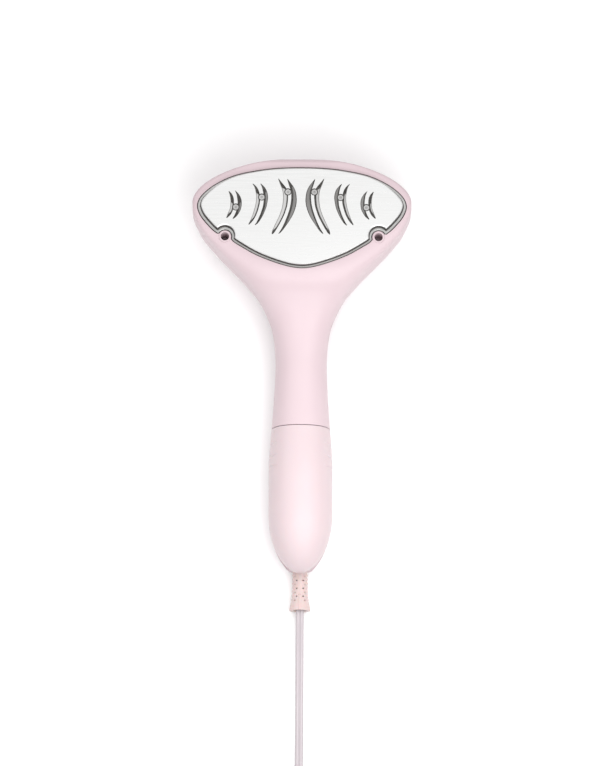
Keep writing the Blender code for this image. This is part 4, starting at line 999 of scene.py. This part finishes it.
# ---------------------------------------------------------------- water tank
GRIP_GROOVES = (0.1704, 0.1776, 0.1842)
GRIP_DEPTH, GRIP_HALF_WIDTH, GRIP_FROM_X = 0.0004, 0.0006, 0.0140
TANK_FROM, TANK_FLOOR_GAP = 0.1606, 0.0006
NIPPLE_RADIUS, NIPPLE_BORE_RADIUS = 0.0030, 0.0016
CAP_HOLE_RADIUS, CAP_SEAT_RADIUS = 0.0050, 0.0064


def tank_ring(t, inset, floor, columns):
    """A closed section of the tank: its arch, then its flat floor."""
    low_line = quarter(t, inset, False, 60, tank_back_z)
    right = [p for p in low_line if p.y > floor]
    below = [p for p in low_line if p.y <= floor]
    if below and right:
        a, b = right[-1], below[0]
        right.append(a.lerp(b, (a.y - floor) / (a.y - b.y)))
    arch = evenly([*reversed(right[1:]), *quarter(t, inset, True, 60)], columns)
    groove = 0.0
    if not inset:
        groove = sum(math.exp(-((t - g) / GRIP_HALF_WIDTH) ** 2) for g in GRIP_GROOVES)
    ring = []
    for p in mirrored(arch):
        depth = GRIP_DEPTH * groove * ease((abs(p.x) - GRIP_FROM_X) / 0.0015)
        ring.append(at(p.x - math.copysign(depth, p.x), t, p.y))
    first, last = ring[0], ring[-1]
    steps = 12
    return [*ring, *[last.lerp(first, i / steps) for i in range(1, steps)]]


def tank_stations():
    nose_from = TANK_END - TANK_NOSE_LENGTH
    stations = spaced(TANK_FROM, 0.1900, 0.0003) + spaced(0.1900, nose_from, 0.0012)[1:]
    steps = 34
    for k in range(1, steps):
        stations.append(nose_from + TANK_NOSE_LENGTH * math.sin(math.pi / 2 * k / steps))
    return [t for t in stations if tank_back_z(t) < NOSE_Z and half_width(t) > 0.0012]


def add_tank():
    floor = SPINE_TOP_Z + TANK_FLOOR_GAP
    bm = bmesh.new()
    add_loft(bm, [tank_ring(t, 0.0, floor, 56) for t in tank_stations()])
    tank = object_of("tank_shell", bm, MATERIALS["tank"])
    hollow, nipple, holes = bmesh.new(), bmesh.new(), bmesh.new()
    within = spaced(0.1636, 0.2120, 0.0040) + spaced(0.2150, 0.2420, 0.0030)
    add_loft(hollow, [tank_ring(t, TANK_WALL, floor + TANK_WALL, 40) for t in within])
    add_rod(nipple, at(0, 0.1535, NIPPLE_Z), at(0, 0.1620, NIPPLE_Z), NIPPLE_RADIUS)
    add_rod(holes, at(0, 0.1500, NIPPLE_Z), at(0, 0.1640, NIPPLE_Z), NIPPLE_BORE_RADIUS, 24)
    add_rod(holes, at(0, 0.1600, CAP_Z), at(0, 0.1650, CAP_Z), CAP_HOLE_RADIUS)
    add_rod(holes, at(0, 0.1590, CAP_Z), at(0, 0.1619, CAP_Z), CAP_SEAT_RADIUS)
    combine(tank, ("DIFFERENCE", hollow), ("UNION", nipple), ("DIFFERENCE", holes))
    piece(tank, TANK, "tank", "water_tank")


# ---------------------------------------------------------------- strain relief
RELIEF_FROM = 0.2437
RELIEF_LENGTH = RELIEF_TO - RELIEF_FROM
RELIEF_FLATNESS = 0.92
RELIEF_RADIUS = ((0.0, 0.0047), (0.35, 0.00475), (0.60, 0.0050), (0.80, 0.0056), (1.0, 0.0063))
RELIEF_MOUTH = ((1.003, 0.0061), (1.0, 0.0040), (0.93, 0.0032), (0.0, 0.0031))
RELIEF_SIDES = 56
SCALLOP_PITCH, SCALLOP_DEPTH = 0.00245, 0.00035
SLOT_ROWS, SLOT_PITCH, SLOT_LENGTH, SLOTS_FROM = 7, 0.00243, 0.0007, 0.0031
RIB_RADIUS, RIB_FROM = 0.0014, 0.52


def relief_ring(share, radius, scallop=0.0):
    """A section this share of the way along the sleeve, with its flanks drawn in by the scallop."""
    ring = []
    for angle in round_turn(RELIEF_SIDES):
        r = radius - scallop * ease((abs(math.cos(angle)) - 0.62) / 0.25)
        height = RELIEF_FLATNESS * r * math.sin(angle)
        ring.append(at(r * math.cos(angle), RELIEF_FROM + RELIEF_LENGTH * share, LEAD_Z + height))
    return ring


def relief_sleeve():
    """A tapered sleeve with scalloped flanks and a belled, open mouth."""
    rings = []
    steps = 96
    for i in range(steps + 1):
        share = i / steps
        wave = 0.5 - 0.5 * math.cos(2 * math.pi * RELIEF_LENGTH * share / SCALLOP_PITCH)
        scallop = SCALLOP_DEPTH * wave * ease(share / 0.06) * ease((0.86 - share) / 0.08)
        rings.append(relief_ring(share, smooth(RELIEF_RADIUS, share), scallop))
    for share, radius in RELIEF_MOUTH:
        rings.append(relief_ring(share, radius))
    bm = bmesh.new()
    rows = add_loft(bm, rings, caps=(False, False))
    for k in range(RELIEF_SIDES):
        j = (k + 1) % RELIEF_SIDES
        bm.faces.new((rows[-1][k], rows[-1][j], rows[0][j], rows[0][k]))
    return object_of("cord_relief", bm, MATERIALS["relief"])


def relief_slots():
    """Rows of two slots, one near the middle and the next near the flanks in turn."""
    slots = bmesh.new()
    for row in range(SLOT_ROWS):
        y = Y_TOP - (RELIEF_FROM + SLOTS_FROM + row * SLOT_PITCH)
        if row % 2:
            low, high, floor, top = 0.0015, 0.0024, -0.0010, 0.0200
        else:
            low, high, floor, top = 0.0026, 0.0033, 0.0101, LEAD_Z + 0.0075
        for side in (-1, 1):
            left, right = sorted((side * low, side * high))
            add_block(slots, (left, y - SLOT_LENGTH, floor), (right, y, top))
    return slots


def relief_rib():
    """A round rib that rises out of the sleeve's front on its way to the mouth."""
    rib = bmesh.new()
    rings = []
    steps = 12
    for i in range(steps + 1):
        share = RIB_FROM + (1 - RIB_FROM) * i / steps
        radius = max(RIB_RADIUS * ease(i / 2.5), 1e-5)
        middle = LEAD_Z + RELIEF_FLATNESS * smooth(RELIEF_RADIUS, share) - 0.75 * RIB_RADIUS
        rings.append([
            at(radius * math.cos(w), RELIEF_FROM + RELIEF_LENGTH * share, middle + radius * math.sin(w))
            for w in round_turn(20)
        ])
    add_loft(rib, rings)
    return rib


def add_strain_relief():
    relief = relief_sleeve()
    combine(relief, ("UNION", relief_rib()), ("DIFFERENCE", relief_slots()))
    piece(relief, BODY, "relief", "strain_relief")


# ---------------------------------------------------------------- studio
# Grey of the sky from its lowest part up: a pale horizon, a darker ring that shades the flanks,
# and a white ceiling.
SKY = ((0.0, 0.86), (0.07, 0.86), (0.13, 0.12), (0.55, 1.0))
SKY_STRENGTH = 1.16


def add_floor():
    reach = 8.0
    corners = [(-reach, -reach, 0), (reach, -reach, 0), (reach, reach, 0), (-reach, reach, 0)]
    mesh = bpy.data.meshes.new("floor")
    mesh.from_pydata(corners, [], [(0, 1, 2, 3)])
    paper = Nodes("paper", (0.94, 0.94, 0.94), 0.9)
    paper.to(paper.mix(paper.noise(30.0), (0.935, 0.935, 0.935), (0.945, 0.945, 0.945)), "Base Color")
    mesh.materials.append(paper.material)
    floor = bpy.data.objects.new("floor", mesh)
    bpy.context.scene.collection.objects.link(floor)
    floor.location.z = -0.0001


def add_sky():
    world = bpy.data.worlds.new("studio")
    bpy.context.scene.world = world
    world.use_nodes = True
    tree = world.node_tree
    coordinates = tree.nodes.new("ShaderNodeTexCoord")
    split = tree.nodes.new("ShaderNodeSeparateXYZ")
    ramp = tree.nodes.new("ShaderNodeValToRGB")
    tree.links.new(coordinates.outputs["Generated"], split.inputs[0])
    tree.links.new(split.outputs["Z"], ramp.inputs[0])
    tree.links.new(ramp.outputs[0], tree.nodes["Background"].inputs["Color"])
    stops = ramp.color_ramp.elements
    for place, _ in SKY[1:-1]:
        stops.new(place)
    for stop, (place, grey) in zip(stops, SKY):
        stop.position = place
        stop.color = (grey, grey, grey, 1)
    tree.nodes["Background"].inputs["Strength"].default_value = SKY_STRENGTH


def add_softbox():
    lamp = bpy.data.lights.new("softbox", "AREA")
    lamp.size, lamp.energy = 0.30, 0.82
    softbox = bpy.data.objects.new("softbox", lamp)
    bpy.context.scene.collection.objects.link(softbox)
    softbox.location = (0.06, -0.12, 0.33)
    aim = Vector((0.0, -0.06, 0.03))
    softbox.rotation_euler = (aim - softbox.location).to_track_quat("-Z", "Y").to_euler()


add_front_shell()
add_rear_shell()
add_steam_plate()
add_tank()
add_strain_relief()
add_floor()
add_sky()
add_softbox()
bpy.context.scene.view_settings.view_transform = "Standard"
